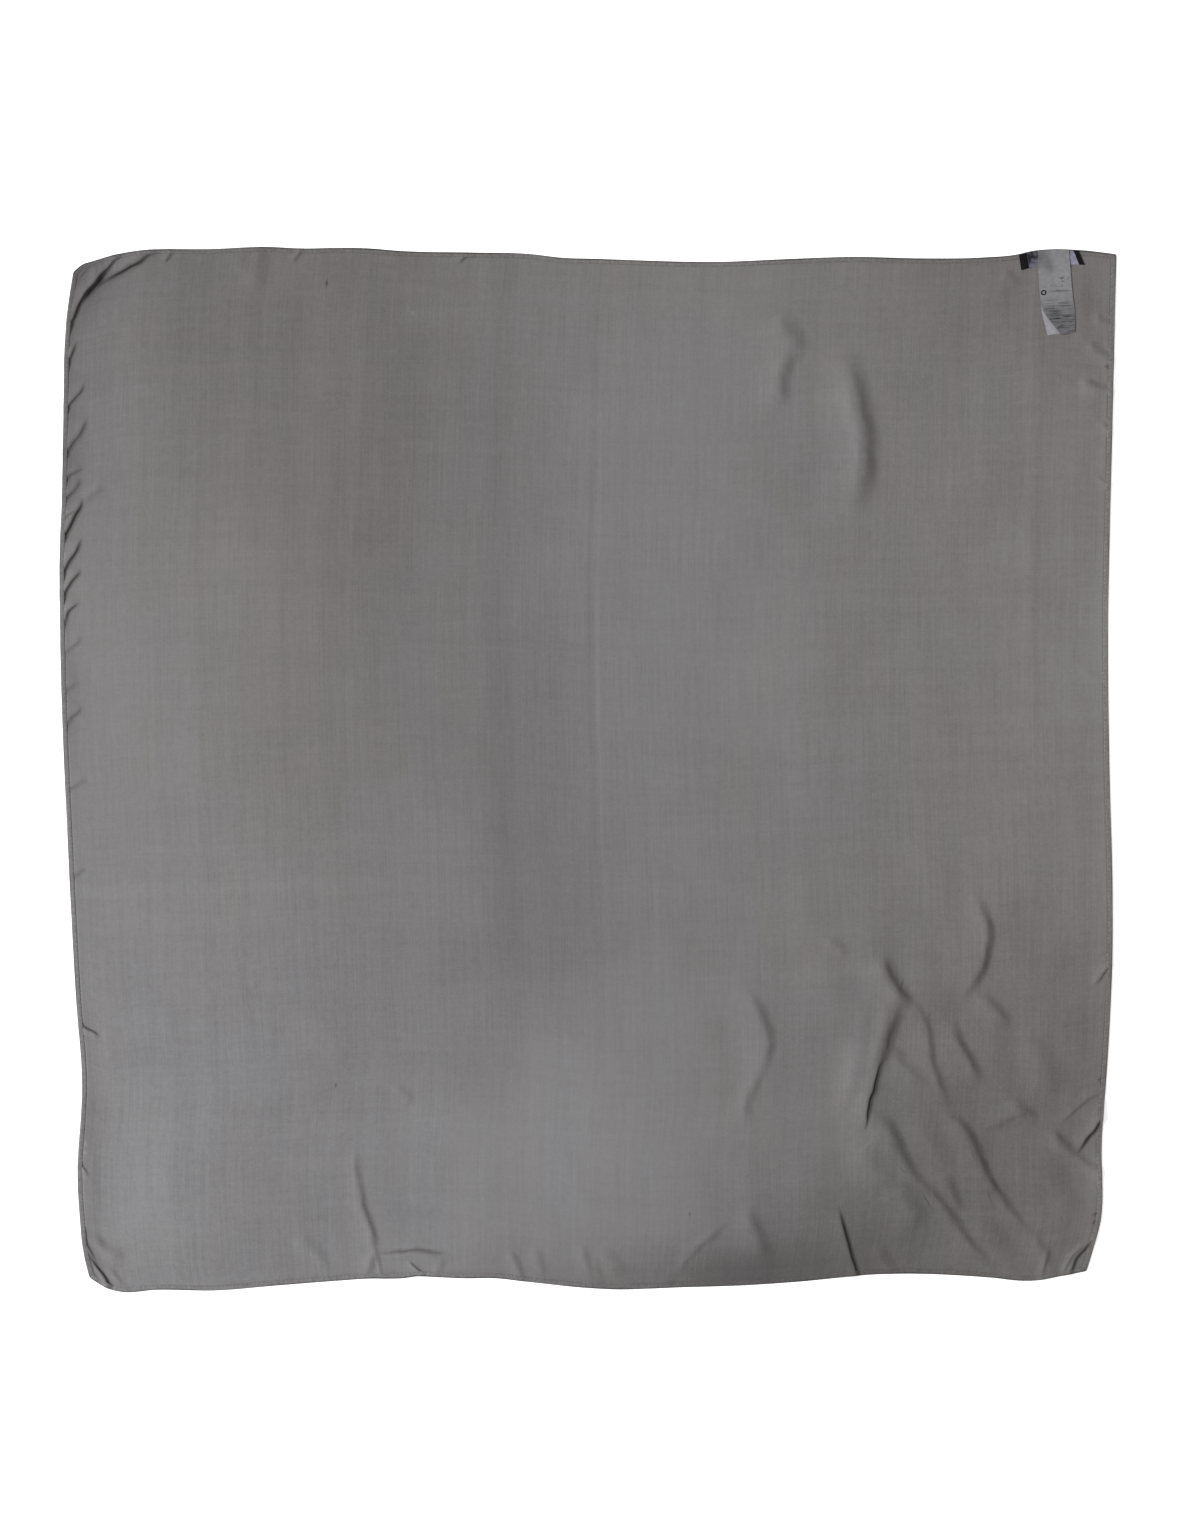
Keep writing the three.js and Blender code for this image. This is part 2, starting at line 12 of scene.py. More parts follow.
import bmesh
import bpy
import numpy as np
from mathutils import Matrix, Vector


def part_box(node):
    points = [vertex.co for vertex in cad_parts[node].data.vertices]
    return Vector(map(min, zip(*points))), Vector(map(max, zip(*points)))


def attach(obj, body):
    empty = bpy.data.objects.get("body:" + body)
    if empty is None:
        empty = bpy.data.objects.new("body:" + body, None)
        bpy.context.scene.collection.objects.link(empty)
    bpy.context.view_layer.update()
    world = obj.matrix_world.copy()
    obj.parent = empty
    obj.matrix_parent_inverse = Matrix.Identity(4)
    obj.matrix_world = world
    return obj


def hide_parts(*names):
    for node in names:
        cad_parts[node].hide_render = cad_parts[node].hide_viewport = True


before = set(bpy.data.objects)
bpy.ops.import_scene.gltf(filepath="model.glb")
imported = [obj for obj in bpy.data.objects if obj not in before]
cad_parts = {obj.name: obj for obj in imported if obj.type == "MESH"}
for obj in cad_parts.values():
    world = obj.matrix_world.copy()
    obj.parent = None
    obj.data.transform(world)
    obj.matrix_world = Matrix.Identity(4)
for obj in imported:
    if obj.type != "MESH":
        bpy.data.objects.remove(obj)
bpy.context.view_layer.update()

print("CAD nodes:", ", ".join(sorted(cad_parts)))

# %% [markdown]
# ## The camera
#
# The photograph looks straight down. At 0.857 mm for each of its pixels the cloth is the common
# 90 cm square. A long lens from 3 m keeps the view nearly parallel, as a copy stand does. The
# camera hangs over the place where the middle of the photograph falls on the cloth.

# %% The camera
PHOTO_WIDTH = 1200
PHOTO_HEIGHT = 1530
METRES_PER_PIXEL = 0.000857
CLOTH_MIDDLE_PIXEL = (588.0, 769.5)
LENS_MM = 85.0
SENSOR_MM = 36.0

camera_x = (PHOTO_WIDTH / 2 - CLOTH_MIDDLE_PIXEL[0]) * METRES_PER_PIXEL
camera_y = (CLOTH_MIDDLE_PIXEL[1] - PHOTO_HEIGHT / 2) * METRES_PER_PIXEL
camera_height = PHOTO_HEIGHT * METRES_PER_PIXEL * LENS_MM / SENSOR_MM

camera_data = bpy.data.cameras.new("camera")
camera_data.lens = LENS_MM
camera_data.sensor_width = SENSOR_MM
camera = bpy.data.objects.new("camera", camera_data)
camera.location = (camera_x, camera_y, camera_height)
bpy.context.scene.collection.objects.link(camera)
bpy.context.scene.camera = camera
print(f"camera {camera_height:.2f} m above the cloth")

# %% [markdown]
# ## The outline
#
# A cloth laid by hand has no straight edge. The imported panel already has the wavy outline, as a
# ring of corner points on its upright walls. Each side becomes one smooth curve through its
# points. Copying numbers by hand would go stale when the panel changes, so the points are read
# from the frame.


# %% Smooth curves and waves
def table(names, text):
    """A table typed as text, one row a line. Each name gives the array of its column."""
    rows = [line.split() for line in text.strip().splitlines()]
    return dict(zip(names.split(), np.array(rows, float).T))


def smooth_step(low, high, value):
    """0 up to low, 1 from high on, and between them 3t^2 - 2t^3, which starts and ends level."""
    part = np.clip((value - low) / (high - low), 0, 1)
    return part * part * (3 - 2 * part)


def smooth_curve(places, values, at):
    """Cubic pieces through points. The slope at a point is that of the parabola through it and
    its two neighbours, and each piece has the heights and slopes of its two ends."""
    slopes = np.gradient(values, places)
    piece = np.clip(np.searchsorted(places, at, side="right") - 1, 0, len(places) - 2)
    span = places[piece + 1] - places[piece]
    part = (at - places[piece]) / span
    start = values[piece] * (1 + 2 * part) + slopes[piece] * span * part
    end = values[piece + 1] * (3 - 2 * part) + slopes[piece + 1] * span * (part - 1)
    return start * (1 - part) ** 2 + end * part**2


def waves(x, y, count, shortest, longest, seed):
    """The mean of cosine waves whose directions, lengths and phases are drawn once from a seed."""
    draw = np.random.default_rng(seed)
    heading = draw.uniform(0, 2 * np.pi, count)
    number = 2 * np.pi / draw.uniform(shortest, longest, count)
    phase = draw.uniform(0, 2 * np.pi, count)
    total = np.zeros(np.broadcast(x, y).shape)
    for way, wave_number, shift in zip(heading, number, phase):
        total += np.cos(wave_number * (x * np.cos(way) + y * np.sin(way)) + shift)
    return total / count


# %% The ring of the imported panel
UPRIGHT = 0.01  # a face stands upright when its normal rises by less than this
PLACE_DIGITS = 5  # corners less than a hundredth of a millimetre apart are one


def wall_corners(node):
    """Corners of the upright faces of a CAD node, seen from above, each place once."""
    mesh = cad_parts[node].data
    corners = np.zeros(len(mesh.vertices) * 3)
    mesh.vertices.foreach_get("co", corners)
    faces = np.zeros(len(mesh.polygons) * 3, int)
    mesh.polygons.foreach_get("vertices", faces)
    normals = np.zeros(len(mesh.polygons) * 3)
    mesh.polygons.foreach_get("normal", normals)
    upright = np.abs(normals.reshape(-1, 3)[:, 2]) < UPRIGHT
    places = corners.reshape(-1, 3)[faces.reshape(-1, 3)[upright].ravel(), :2]
    return np.unique(np.round(places, PLACE_DIGITS), axis=0)


def split_ring(ring):
    """The four sides of a nearly square ring. The points are put in order by their angle round
    the middle, and a corner is the point that lies furthest out along its diagonal."""
    ring = ring[np.argsort(np.arctan2(ring[:, 1], ring[:, 0]))]
    ring = np.roll(ring, -np.argmin(ring @ (1, 1)), axis=0)
    low_right, high_right, high_left = (np.argmax(ring @ way) for way in ((1, -1), (1, 1), (-1, 1)))
    return {
        "bottom": ring[: low_right + 1],
        "right": ring[low_right : high_right + 1],
        "top": ring[high_right : high_left + 1][::-1],
        "left": np.concatenate([ring[high_left:], ring[:1]])[::-1],
    }


sides = split_ring(wall_corners("cloth_panel"))
print("points on each side:", {name: len(points) for name, points in sides.items()})

# %% [markdown]
# ## Laying out the cloth
#
# Every place on the cloth has two numbers: its share of the way across, from the left edge, and
# its share of the way up, from the bottom edge. The side curves are blended over the square, as
# a tailor eases cloth between its edges. The panel runs a little way into its hems.

# %% From shares to places
HEM_LAP = 0.0016  # how far the panel runs into its hems


def side_reader(name, along, outward):
    """Reads a side at a share of its length: the place across it, moved out by HEM_LAP."""
    points = sides[name]
    length = points[-1, along] - points[0, along]
    shares = (points[:, along] - points[0, along]) / length
    return lambda at: smooth_curve(shares, points[:, 1 - along], at) + outward * HEM_LAP


left_edge = side_reader("left", 1, -1)
right_edge = side_reader("right", 1, 1)
bottom_edge = side_reader("bottom", 0, -1)
top_edge = side_reader("top", 0, 1)


def lay(across, up):
    """x is blended from the left edge to the right one, y from the bottom edge to the top one."""
    left, right = left_edge(up), right_edge(up)
    bottom, top = bottom_edge(across), top_edge(across)
    return left + (right - left) * across, bottom + (top - bottom) * up


PANEL_ACROSS = float(np.mean(sides["right"][:, 0]) - np.mean(sides["left"][:, 0]))
PANEL_ALONG = float(np.mean(sides["top"][:, 1]) - np.mean(sides["bottom"][:, 1]))
print(f"panel {PANEL_ACROSS:.3f} by {PANEL_ALONG:.3f} m inside its hems")

# %% [markdown]
# ## Folds
#
# A fold in thin cloth is a crest with two flanks. Light comes from the left, so the flank on
# that side is bright and the other one dark. A simulation would make folds too, but other ones.
# So each crest is drawn through four points, and its flanks fall away by a formula.
#
# Where the cloth is pinched it lies double, and fine cloth is darker there. Each fold has a
# second field for that, the pinch, which the finish turns into the dark line of a crease. It is
# painted shade as much as double cloth: it lies on the shaded flank, where that is steepest.
#
# The folds are listed by where they lie, each from its upper end down, or from left to right
# where it runs level. Its four points are thousandths across and up. The other columns are
# hundredths: the rise of the crest, the reach of the shaded and of the lit flank, how much of the
# rise is left at the first and the last point, how dark the painted shade of the pinch is and how
# soft it is.

# %% What the folds are measured in
FOLD_RISE = 0.0036  # height of a crest whose rise is 100
FOLD_REACH = 0.0335  # from the crest to the foot of a flank whose reach is 100
CREST_ROUND = 0.1  # how far a crest is rounded off, as a share of its shaded flank
FADE_SHARE = 0.35  # share of a crest over which it rises from nothing
# The pinch is a painted shade along a crease, partly the darker double cloth.
PINCH_SHADE_REACH = 0.004  # half width of a pinch whose softness is 100
PINCH_SHADE_PLACE = 0.45  # how far down the shaded flank it lies, as a share
FOLD_WANDER = 0.0015  # how far a crest strays to and fro off its drawn line
WANDER_WAVES = (8, 0.010, 0.04)  # number, shortest and longest of the waves it strays by
FOLD_POINTS = "x0 y0 x1 y1 x2 y2 x3 y3"
FOLD_SHARES = "rise shade lit open0 open3 pinch soft"
print("each fold has", len(f"{FOLD_POINTS} {FOLD_SHARES}".split()), "numbers")

# %% The folds along the top, near the left corner
# One long sharp crease cuts off the corner, and a second one joins it. The rest are short.
TOP_LEFT_FOLDS = """
40 1004  26 988  10 969  -5 939  53 16 46  60 60  85 23
34 996  24 985  16 976  5 963  50 26 40  0 0  95 35
70 1002  58 994  45 988  26 982  47 28 40  70 40  95 35
90 1001  90 998  88 994  85 990  17 13 20  100 0  35 25
15 1003  18 995  20 987  20 979  7 16 20  0 0  20 25
12 999  10 996  7 994  4 994  7 13 20  0 0  25 30
160 1002  158 994  159 987  160 975  17 36 40  100 0  5 75
175 1002  174 988  175 975  178 958  23 40 43  80 0  5 75
216 1001  214 997  211 993  209 989  13 13 20  100 0  25 30
383 1003  375 1000  371 996  367 991  15 13 23  100 0  40 25
"""

# %% The tucks along the left edge
# The hem is a little shorter than the cloth here, so the cloth stands in a row of slanted tucks.
LEFT_TUCKS = """
7 928  3 917  -1 912  -5 903  29 16 30  0 80  55 19
1 932  -1 929  -3 926  -5 922  10 13 16  0 80  33 19
15 886  10 875  3 870  -5 860  29 16 33  0 80  55 17
18 852  12 838  7 830  -4 819  31 19 36  0 80  46 17
18 804  10 800  2 798  -5 789  22 19 30  0 80  28 26
13 794  9 785  5 780  -5 775  22 19 26  0 80  33 26
39 784  30 777  21 771  13 766  14 25 30  0 0  11 56
15 773  11 761  6 749  -5 735  46 19 36  0 90  94 24
11 762  7 760  3 759  -4 757  12 13 20  0 80  33 23
15 734  11 722  5 713  -4 698  43 19 36  0 90  77 24
18 704  10 694  4 687  -4 673  38 16 36  0 80  66 19
17 671  9 666  4 661  -1 650  31 16 30  0 60  61 19
18 639  13 633  8 628  1 622  14 19 26  0 50  17 30
17 594  8 589  3 587  -4 582  12 19 26  0 50  13 38
17 570  8 562  4 557  -3 547  19 19 30  0 60  28 28
18 498  11 494  4 490  -4 487  14 19 26  0 80  17 28
12 411  6 405  2 402  -5 398  14 19 26  0 60  17 34
-2 248  5 246  11 245  17 242  27 13 20  70 0  65 23
-3 113  2 108  5 106  8 101  17 10 16  80 0  35 20
"""

# %% The folds of the bottom left corner and the bottom edge
# Sharp creases under the corner, then soft puckers that stand on the hem.
BOTTOM_LEFT_FOLDS = """
-1 45  1 33  5 25  8 19  23 12 20  50 20  55 20
2 19  6 14  12 7  17 -5  43 15 26  30 100  85 25
1 26  1 14  2 4  6 -4  13 10 13  30 80  40 20
7 52  13 40  22 35  42 31  43 33 46  0 0  8 65
9 149  10 110  9 75  7 42  17 30 40  0 30  0 75
18 21  23 15  27 9  32 2  20 20 26  0 40  5 50
265 127  269 103  272 82  276 62  27 23 53  0 0  4 60
270 88  275 64  282 43  285 19  40 25 53  0 30  28 42
286 23  281 16  279 9  275 0  23 20 26  30 30  12 45
287 21  289 13  289 6  291 -1  13 13 13  40 40  10 40
288 17  307 20  330 19  366 17  30 23 40  30 0  42 40
318 13  324 7  329 2  335 -3  17 10 20  0 80  50 20
200 42  218 33  230 21  233 4  27 33 46  0 30  5 55
297 182  307 181  315 175  320 162  17 20 30  0 0  3 50
355 19  352 13  348 7  345 -2  13 20 23  0 50  5 50
417 26  423 19  427 11  430 -1  23 23 30  0 70  8 50
443 34  446 25  450 15  452 3  17 26 30  0 50  5 50
488 40  494 29  498 18  500 3  22 23 36  0 50  6 40
506 28  506 19  508 11  509 0  13 20 23  0 50  6 40
507 40  513 30  522 21  533 7  23 43 40  0 30  4 75
"""

# %% The folds of the upper right
# Two soft ridges that end in the cloth, and small puckers at the edge.
UPPER_RIGHT_FOLDS = """
737 922  751 866  761 817  751 738  107 58 99  0 0  12 100
672 949  684 931  695 917  708 906  50 49 79  0 0  6 85
690 919  684 900  680 881  683 851  57 43 79  0 0  6 85
892 990  897 982  903 975  909 968  20 30 33  0 0  5 75
980 941  985 937  991 933  1000 930  20 23 26  0 60  8 50
975 914  983 906  990 901  1000 896  27 26 30  0 60  8 62
970 878  980 869  990 866  1002 865  40 26 33  0 60  12 60
989 837  994 831  998 828  1003 825  20 20 23  0 60  15 40
986 783  992 778  997 775  1003 773  13 16 20  0 60  10 40
973 592  983 587  992 584  1002 581  13 23 26  0 0  3 50
"""

# %% The folds of the lower right
# The cloth was gathered here: long slanted folds, a few of them creased.
LOWER_RIGHT_FOLDS = """
863 381  879 342  874 306  852 265  63 28 86  0 0  14 55
775 319  779 299  789 280  807 258  87 40 79  0 10  28 55
797 271  817 251  827 209  853 148  43 26 73  20 0  12 40
792 269  782 243  776 222  769 191  107 48 86  25 0  20 70
783 218  773 191  769 167  765 136  67 15 92  10 0  100 17
783 228  794 209  808 193  830 178  43 36 59  0 0  6 60
844 253  853 226  865 206  883 179  67 31 79  0 0  12 50
768 153  787 142  800 116  822 82  80 38 99  20 30  10 60
813 94  840 67  865 38  902 3  60 28 92  20 20  8 45
840 157  862 141  877 116  887 88  67 33 79  0 30  12 50
881 108  895 82  910 64  929 39  47 25 73  30 20  8 40
928 47  941 34  953 20  966 -1  23 26 33  30 50  5 50
1005 158  995 143  986 132  975 116  57 16 40  100 0  80 23
1001 178  985 170  972 161  956 147  13 13 30  40 0  22 23
947 148  958 132  967 123  978 113  40 23 30  0 30  12 50
973 115  985 105  995 97  1008 87  33 23 33  20 40  8 50
938 177  920 162  901 153  874 142  27 26 46  0 0  8 40
905 174  916 163  926 156  940 150  37 40 53  0 0  10 75
741 72  745 49  756 25  769 -2  60 16 86  0 90  85 21
794 92  803 75  813 60  828 39  53 53 79  0 0  5 100
845 101  850 84  855 70  861 56  37 33 46  0 0  10 62
999 30  992 23  986 14  984 -3  37 16 26  40 100  65 28
993 29  985 20  979 10  977 -2  17 13 20  0 80  30 25
956 32  955 20  955 8  957 -4  17 16 20  0 80  20 25
783 28  790 16  798 7  807 -3  23 26 30  0 50  8 75
638 291  659 263  667 232  656 197  47 33 92  0 10  8 55
662 212  653 191  647 173  655 150  30 30 46  10 0  5 65
648 78  654 59  664 39  675 16  50 40 79  0 20  10 55
639 69  622 52  605 37  586 11  20 20 30  0 20  5 40
725 336  732 326  739 320  746 313  20 26 30  0 0  4 65
869 276  881 264  892 255  905 242  47 33 53  0 0  10 60
1003 304  996 296  991 290  982 282  23 13 26  80 0  30 23
760 285  757 236  750 190  731 144  30 40 53  0 0  0 75
750 123  767 114  781 95  789 71  40 53 86  0 0  0 75
808 150  828 134  844 111  854 81  30 46 59  0 0  0 75
905 240  926 221  942 198  958 172  40 59 86  0 0  0 75
932 124  948 100  960 74  973 43  40 59 86  0 0  0 75
863 62  891 38  911 20  930 -1  33 53 66  0 50  0 75
"""


# %% From tables to crests
def fold_crests(text):
    """Each row as a crest: its four points in metres on the flat cloth, its rise, the reach of
    its two flanks, how open its ends are, its pinch, a painted shade, and how soft that is."""
    folds = table(f"{FOLD_POINTS} {FOLD_SHARES}", text)
    size = np.array([PANEL_ACROSS, PANEL_ALONG]) / 1000
    places = [np.stack([folds[f"x{n}"], folds[f"y{n}"]], axis=1) * size for n in range(4)]
    rise, shade, lit, first, last, dark, soft = (folds[name] / 100 for name in FOLD_SHARES.split())
    points = np.stack(places, axis=1)
    reach = np.stack([shade, lit], axis=1) * FOLD_REACH
    open_ends = np.stack([first, last], axis=1)
    return list(zip(points, rise * FOLD_RISE, reach, open_ends, dark, soft * PINCH_SHADE_REACH))


fold_tables = (TOP_LEFT_FOLDS, LEFT_TUCKS, BOTTOM_LEFT_FOLDS, UPPER_RIGHT_FOLDS, LOWER_RIGHT_FOLDS)
crests = [crest for text in fold_tables for crest in fold_crests(text)]
print(len(crests), "crests")


# %% The shape of one crest
def crest_path(points, steps=18):
    """A smooth line through a crest's four points, as a chain of short straight steps. The
    points' own distances from each other space them out along it."""
    gaps = np.linalg.norm(np.diff(points, axis=0), axis=1)
    places = np.concatenate([[0], np.cumsum(gaps)])
    at = np.linspace(0, places[-1], steps + 1)
    return np.stack([smooth_curve(places, column, at) for column in points.T], axis=1)


def beside_crest(path, x, y):
    """For each point of a patch: its distance from the path, whether it lies on the left of it,
    and how far along the path, from 0 to 1. The nearest straight step of the path is taken."""
    start, run = path[:-1], np.diff(path, axis=0)
    off_x = x[..., None] - start[:, 0]
    off_y = y[..., None] - start[:, 1]
    part = np.clip((off_x * run[:, 0] + off_y * run[:, 1]) / (run**2).sum(axis=1), 0, 1)
    distance = np.hypot(off_x - part * run[:, 0], off_y - part * run[:, 1])
    nearest = distance.argmin(axis=-1)[..., None]
    turn = np.take_along_axis(run[:, 0] * off_y - run[:, 1] * off_x, nearest, -1)[..., 0]
    along = (nearest + np.take_along_axis(part, nearest, -1))[..., 0] / len(run)
    return np.take_along_axis(distance, nearest, -1)[..., 0], turn > 0, along


def crest_fields(crest, x, y):
    """The height that a crest adds to a patch, and its pinch, a painted shade. Both are worked out
    for places bent by small waves, so that no crest looks ruled.
    Height: the rise times a fall, which depends on off, the distance from the crest as a share
    of the flank's reach. The fall is the cube of 1 - off^2 on the shaded flank, steepest
    halfway down, and the square of 1 - off on the lit one, steepest at the crest. Near the
    crest the distance is rounded off, and both ends of the crest fade in and out smoothly.
    Pinch: a bell curve across the shaded flank, over its steepest part. It is painted shade
    there, and partly the darker double cloth."""
    points, rise, (shade, lit), open_ends, pinch, soft = crest
    bent_x = x + FOLD_WANDER * waves(x, y, *WANDER_WAVES, seed=31)
    bent_y = y + FOLD_WANDER * waves(x, y, *WANDER_WAVES, seed=37)
    distance, shaded, along = beside_crest(crest_path(points), bent_x, bent_y)
    rounded = np.hypot(distance, CREST_ROUND * shade) - CREST_ROUND * shade
    off = np.clip(rounded / np.where(shaded, shade, lit), 0, 1)
    fall = np.where(shaded, (1 - off**2) ** 3, (1 - off) ** 2)
    start = open_ends[0] + (1 - open_ends[0]) * smooth_step(0, FADE_SHARE, along)
    end = open_ends[1] + (1 - open_ends[1]) * smooth_step(0, FADE_SHARE, 1 - along)
    signed = np.where(shaded, distance, -distance)
    bell = np.exp(-(((signed - PINCH_SHADE_PLACE * shade) / soft) ** 2))
    return rise * start * end * fall, pinch * start * end * bell


# %% [markdown]
# ## The height field
#
# The cloth is cut into a fine square grid, and each crest adds its height to the patch of grid
# round it. Low swells go over the whole cloth: air is caught under it, and it was folded before
# it was laid out. They are sums of plane waves with fixed directions and phases, cut off where
# they would dip into the ground. Long ones go everywhere, and short ones are on the right, most
# of all low down, where the folds are. Towards the edges both sink, for the hem is heavy.

# %% The grid and its height
GRID_CELLS = 2048  # a power of two, so that it can be halved down to one cell
SWELL_RISE = 0.0005
SWELL_WAVES = (9, 0.09, 0.26)  # number, shortest and longest
SWELL_LEVEL = 0.7  # raises the waves, so that little of them is cut off
SHORT_RISE = 0.0018
SHORT_WAVES = (12, 0.035, 0.09)
SHORT_LEVEL = 0.5
SHORT_ACROSS = (0.45, 0.8)  # the short swells grow to full strength between these shares across
SHORT_UP = (0.2, 0.45)  # and lose SHORT_LOSS of it between these shares up
SHORT_LOSS = 0.7
SETTLE = (-0.01, 0.06)  # the swells sink towards the hem over these distances from it
BED = 0.00005  # gap between the cloth and what it lies on
HEM_BED = 0.0004  # the same close to a hem, which holds the cloth up
HEM_BED_REACH = 0.010


def height_field(cells):
    """Height and pinch, the painted crease shade, of the cloth at each corner of a square grid."""
    shares = np.linspace(0, 1, cells + 1)
    x, y = shares[None, :] * PANEL_ACROSS, shares[:, None] * PANEL_ALONG
    lively_across = smooth_step(*SHORT_ACROSS, shares)[None, :]
    lively_up = 1 - SHORT_LOSS * smooth_step(*SHORT_UP, shares)[:, None]
    swell = np.maximum(SWELL_LEVEL + waves(x, y, *SWELL_WAVES, seed=3), 0)
    short = np.maximum(SHORT_LEVEL + waves(x, y, *SHORT_WAVES, seed=5), 0)
    edge = np.minimum(np.minimum(x, PANEL_ACROSS - x), np.minimum(y, PANEL_ALONG - y))
    height = SWELL_RISE * swell + SHORT_RISE * (lively_across * lively_up) * short
    height *= smooth_step(*SETTLE, edge)
    height += BED + (HEM_BED - BED) * (1 - smooth_step(0, HEM_BED_REACH, edge))
    pinch = np.zeros_like(height)
    for crest in crests:
        points, _, reach = crest[:3]
        low = (points.min(axis=0) - max(reach)) / (PANEL_ACROSS, PANEL_ALONG)
        high = (points.max(axis=0) + max(reach)) / (PANEL_ACROSS, PANEL_ALONG)
        first = np.clip(np.floor(low * cells).astype(int), 0, cells)
        last = np.clip(np.ceil(high * cells).astype(int) + 1, 0, cells + 1)
        patch = (slice(first[1], last[1]), slice(first[0], last[0]))
        added, pinch_shading = crest_fields(crest, *np.broadcast_arrays(x[:, patch[1]], y[patch[0]]))
        height[patch] += added
        pinch[patch] = np.maximum(pinch[patch], pinch_shading)
    return height, pinch


height, pinch = height_field(GRID_CELLS)
print(f"cloth from {height.min() * 1000:.2f} to {height.max() * 1000:.2f} mm high")

# %% [markdown]
# ## Few triangles where the cloth is flat
#
# The grid has four million corners, far too many to keep, yet the folds need them. Halving
# helps: a right-angled triangle is cut at the middle of its long side only where that middle
# lies off the surface by more than a set error. The marks are made from the finest level up, so
# that a neighbour is always cut too and no crack opens. Every level is done at once with array
# slices.

# %% Marking where triangles split
SURFACE_ERROR = 0.000028  # how far a facet may leave the cloth
PINCH_SHADE_AS_LENGTH = 0.0002  # a change of 1 in the pinch counts as this distance
COARSEST_CELLS = 32  # no triangle side is longer than this many cells


def mark_splits(points, limit, coarsest):
    """True at each grid corner where a long side has to be cut. On each level, first the level
    and upright sides and then the slanted ones are tested against their own middle corner."""
    cells = len(points) - 1
    marks = np.zeros((cells + 1, cells + 1), bool)
    step = 1
    while step < cells:
        wide, half = 2 * step, step // 2
        for grid, mark in ((points, marks), (points.swapaxes(0, 1), marks.T)):
            chord = (grid[::wide, :-1:wide] + grid[::wide, wide::wide]) / 2
            cut = np.linalg.norm(chord - grid[::wide, step::wide], axis=-1) > limit
            if half:
                finer = np.pad(mark[half::step, half::step], 1)
                finer = finer[0::2] | finer[1::2]
                cut |= finer[:, 1:-1:2] | finer[:, 2::2]
            mark[::wide, step::wide] = cut | (step >= coarsest)
        rising = (points[:-1:wide, :-1:wide] + points[wide::wide, wide::wide]) / 2
        falling = (points[:-1:wide, wide::wide] + points[wide::wide, :-1:wide]) / 2
        row, column = np.indices(rising.shape[:2])
        chord = np.where(((row + column) % 2 == 0)[..., None], rising, falling)
        cut = np.linalg.norm(chord - points[step::wide, step::wide], axis=-1) > limit
        cut |= marks[step::wide, :-1:wide] | marks[step::wide, wide::wide]
        cut |= marks[:-1:wide, step::wide] | marks[wide::wide, step::wide]
        marks[step::wide, step::wide] = cut | (step >= coarsest)
        step = wide
    return marks


def split_triangles(marks):
    """Triangles as grid corners, anticlockwise. It starts from the two halves of the square, and
    cuts all marked triangles of a generation at once."""
    cells = len(marks) - 1
    corners = np.array([[[0, 0], [cells, cells], [cells, 0]], [[cells, cells], [0, 0], [0, cells]]])
    finished = []
    while len(corners):
        start, end, apex = corners[:, 0], corners[:, 1], corners[:, 2]
        middle = (start + end) // 2
        whole = ((start + end) % 2 == 0).all(axis=1)
        cut = whole & marks[middle[:, 1], middle[:, 0]]
        finished.append(np.stack([start, apex, end], axis=1)[~cut])
        start, end, apex, middle = start[cut], end[cut], apex[cut], middle[cut]
        pair = [np.stack([apex, start, middle], axis=1), np.stack([end, apex, middle], axis=1)]
        corners = np.concatenate(pair)
    return np.concatenate(finished)


shares = np.linspace(0, 1, GRID_CELLS + 1)
grid_x, grid_y = lay(shares[None, :], shares[:, None])
field = np.stack([grid_x, grid_y, height, pinch * PINCH_SHADE_AS_LENGTH], axis=-1)
triangles = split_triangles(mark_splits(field, SURFACE_ERROR, COARSEST_CELLS))
print(len(triangles), "triangles for the cloth")


# %% Putting arrays into a mesh
def make_piece(name, points, faces, smooth=True):
    """A mesh object at the origin, from arrays of points and of faces with as many corners each.
    It rides on the body root."""
    mesh = bpy.data.meshes.new(name)
    mesh.from_pydata(points, [], faces)
    mesh.polygons.foreach_set("use_smooth", np.full(len(mesh.polygons), smooth))
    mesh.update()
    piece = bpy.data.objects.new(name, mesh)
    bpy.context.scene.collection.objects.link(piece)
    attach(piece, "root")
    return piece


def add_map(piece, name, places):
    """A UV map from one place for each vertex."""
    mesh = piece.data
    corner = np.zeros(len(mesh.loops), int)
    mesh.loops.foreach_get("vertex_index", corner)
    mesh.uv_layers.new(name=name).data.foreach_set("uv", places[corner].ravel())


def add_field(piece, name, values):
    """One number for each vertex, for a finish to read."""
    attribute = piece.data.attributes.new(name, "FLOAT", "POINT")
    attribute.data.foreach_set("value", np.asarray(values, np.float32))


def add_wall(piece, thickness, offset=1):
    """Gives a sheet its thickness. offset 1 keeps the given surface as the underside."""
    wall = piece.modifiers.new("wall", "SOLIDIFY")
    wall.thickness = thickness
    wall.offset = offset


# %% The cloth
CLOTH_WALL = 0.0002

flat_places = triangles[..., 1] * (GRID_CELLS + 1) + triangles[..., 0]
used, faces = np.unique(flat_places, return_inverse=True)
rows, columns = np.divmod(used, GRID_CELLS + 1)
cloth_points = field[rows, columns, :3]
cloth = make_piece("cloth_sheet", cloth_points, faces.reshape(-1, 3))
cloth_map = np.stack([columns * PANEL_ACROSS, rows * PANEL_ALONG], axis=1) / GRID_CELLS
add_map(cloth, "flat", cloth_map)
add_field(cloth, "pinch", pinch[rows, columns])
add_wall(cloth, CLOTH_WALL)
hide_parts("cloth_panel")
print(cloth.name, len(cloth_points), "points")

# %% [markdown]
# ## The hems
#
# Each edge is turned over twice and stitched down, which makes a flat band about 4 mm wide and
# three layers thick. The stitches pull it into small puckers. It could be a thickened rim of the
# cloth, but the band is its own strip here: a flat rounded section carried along the edge curve,
# with the puckers as a wave of the stitch length. At the corners the section lies on the mitre.

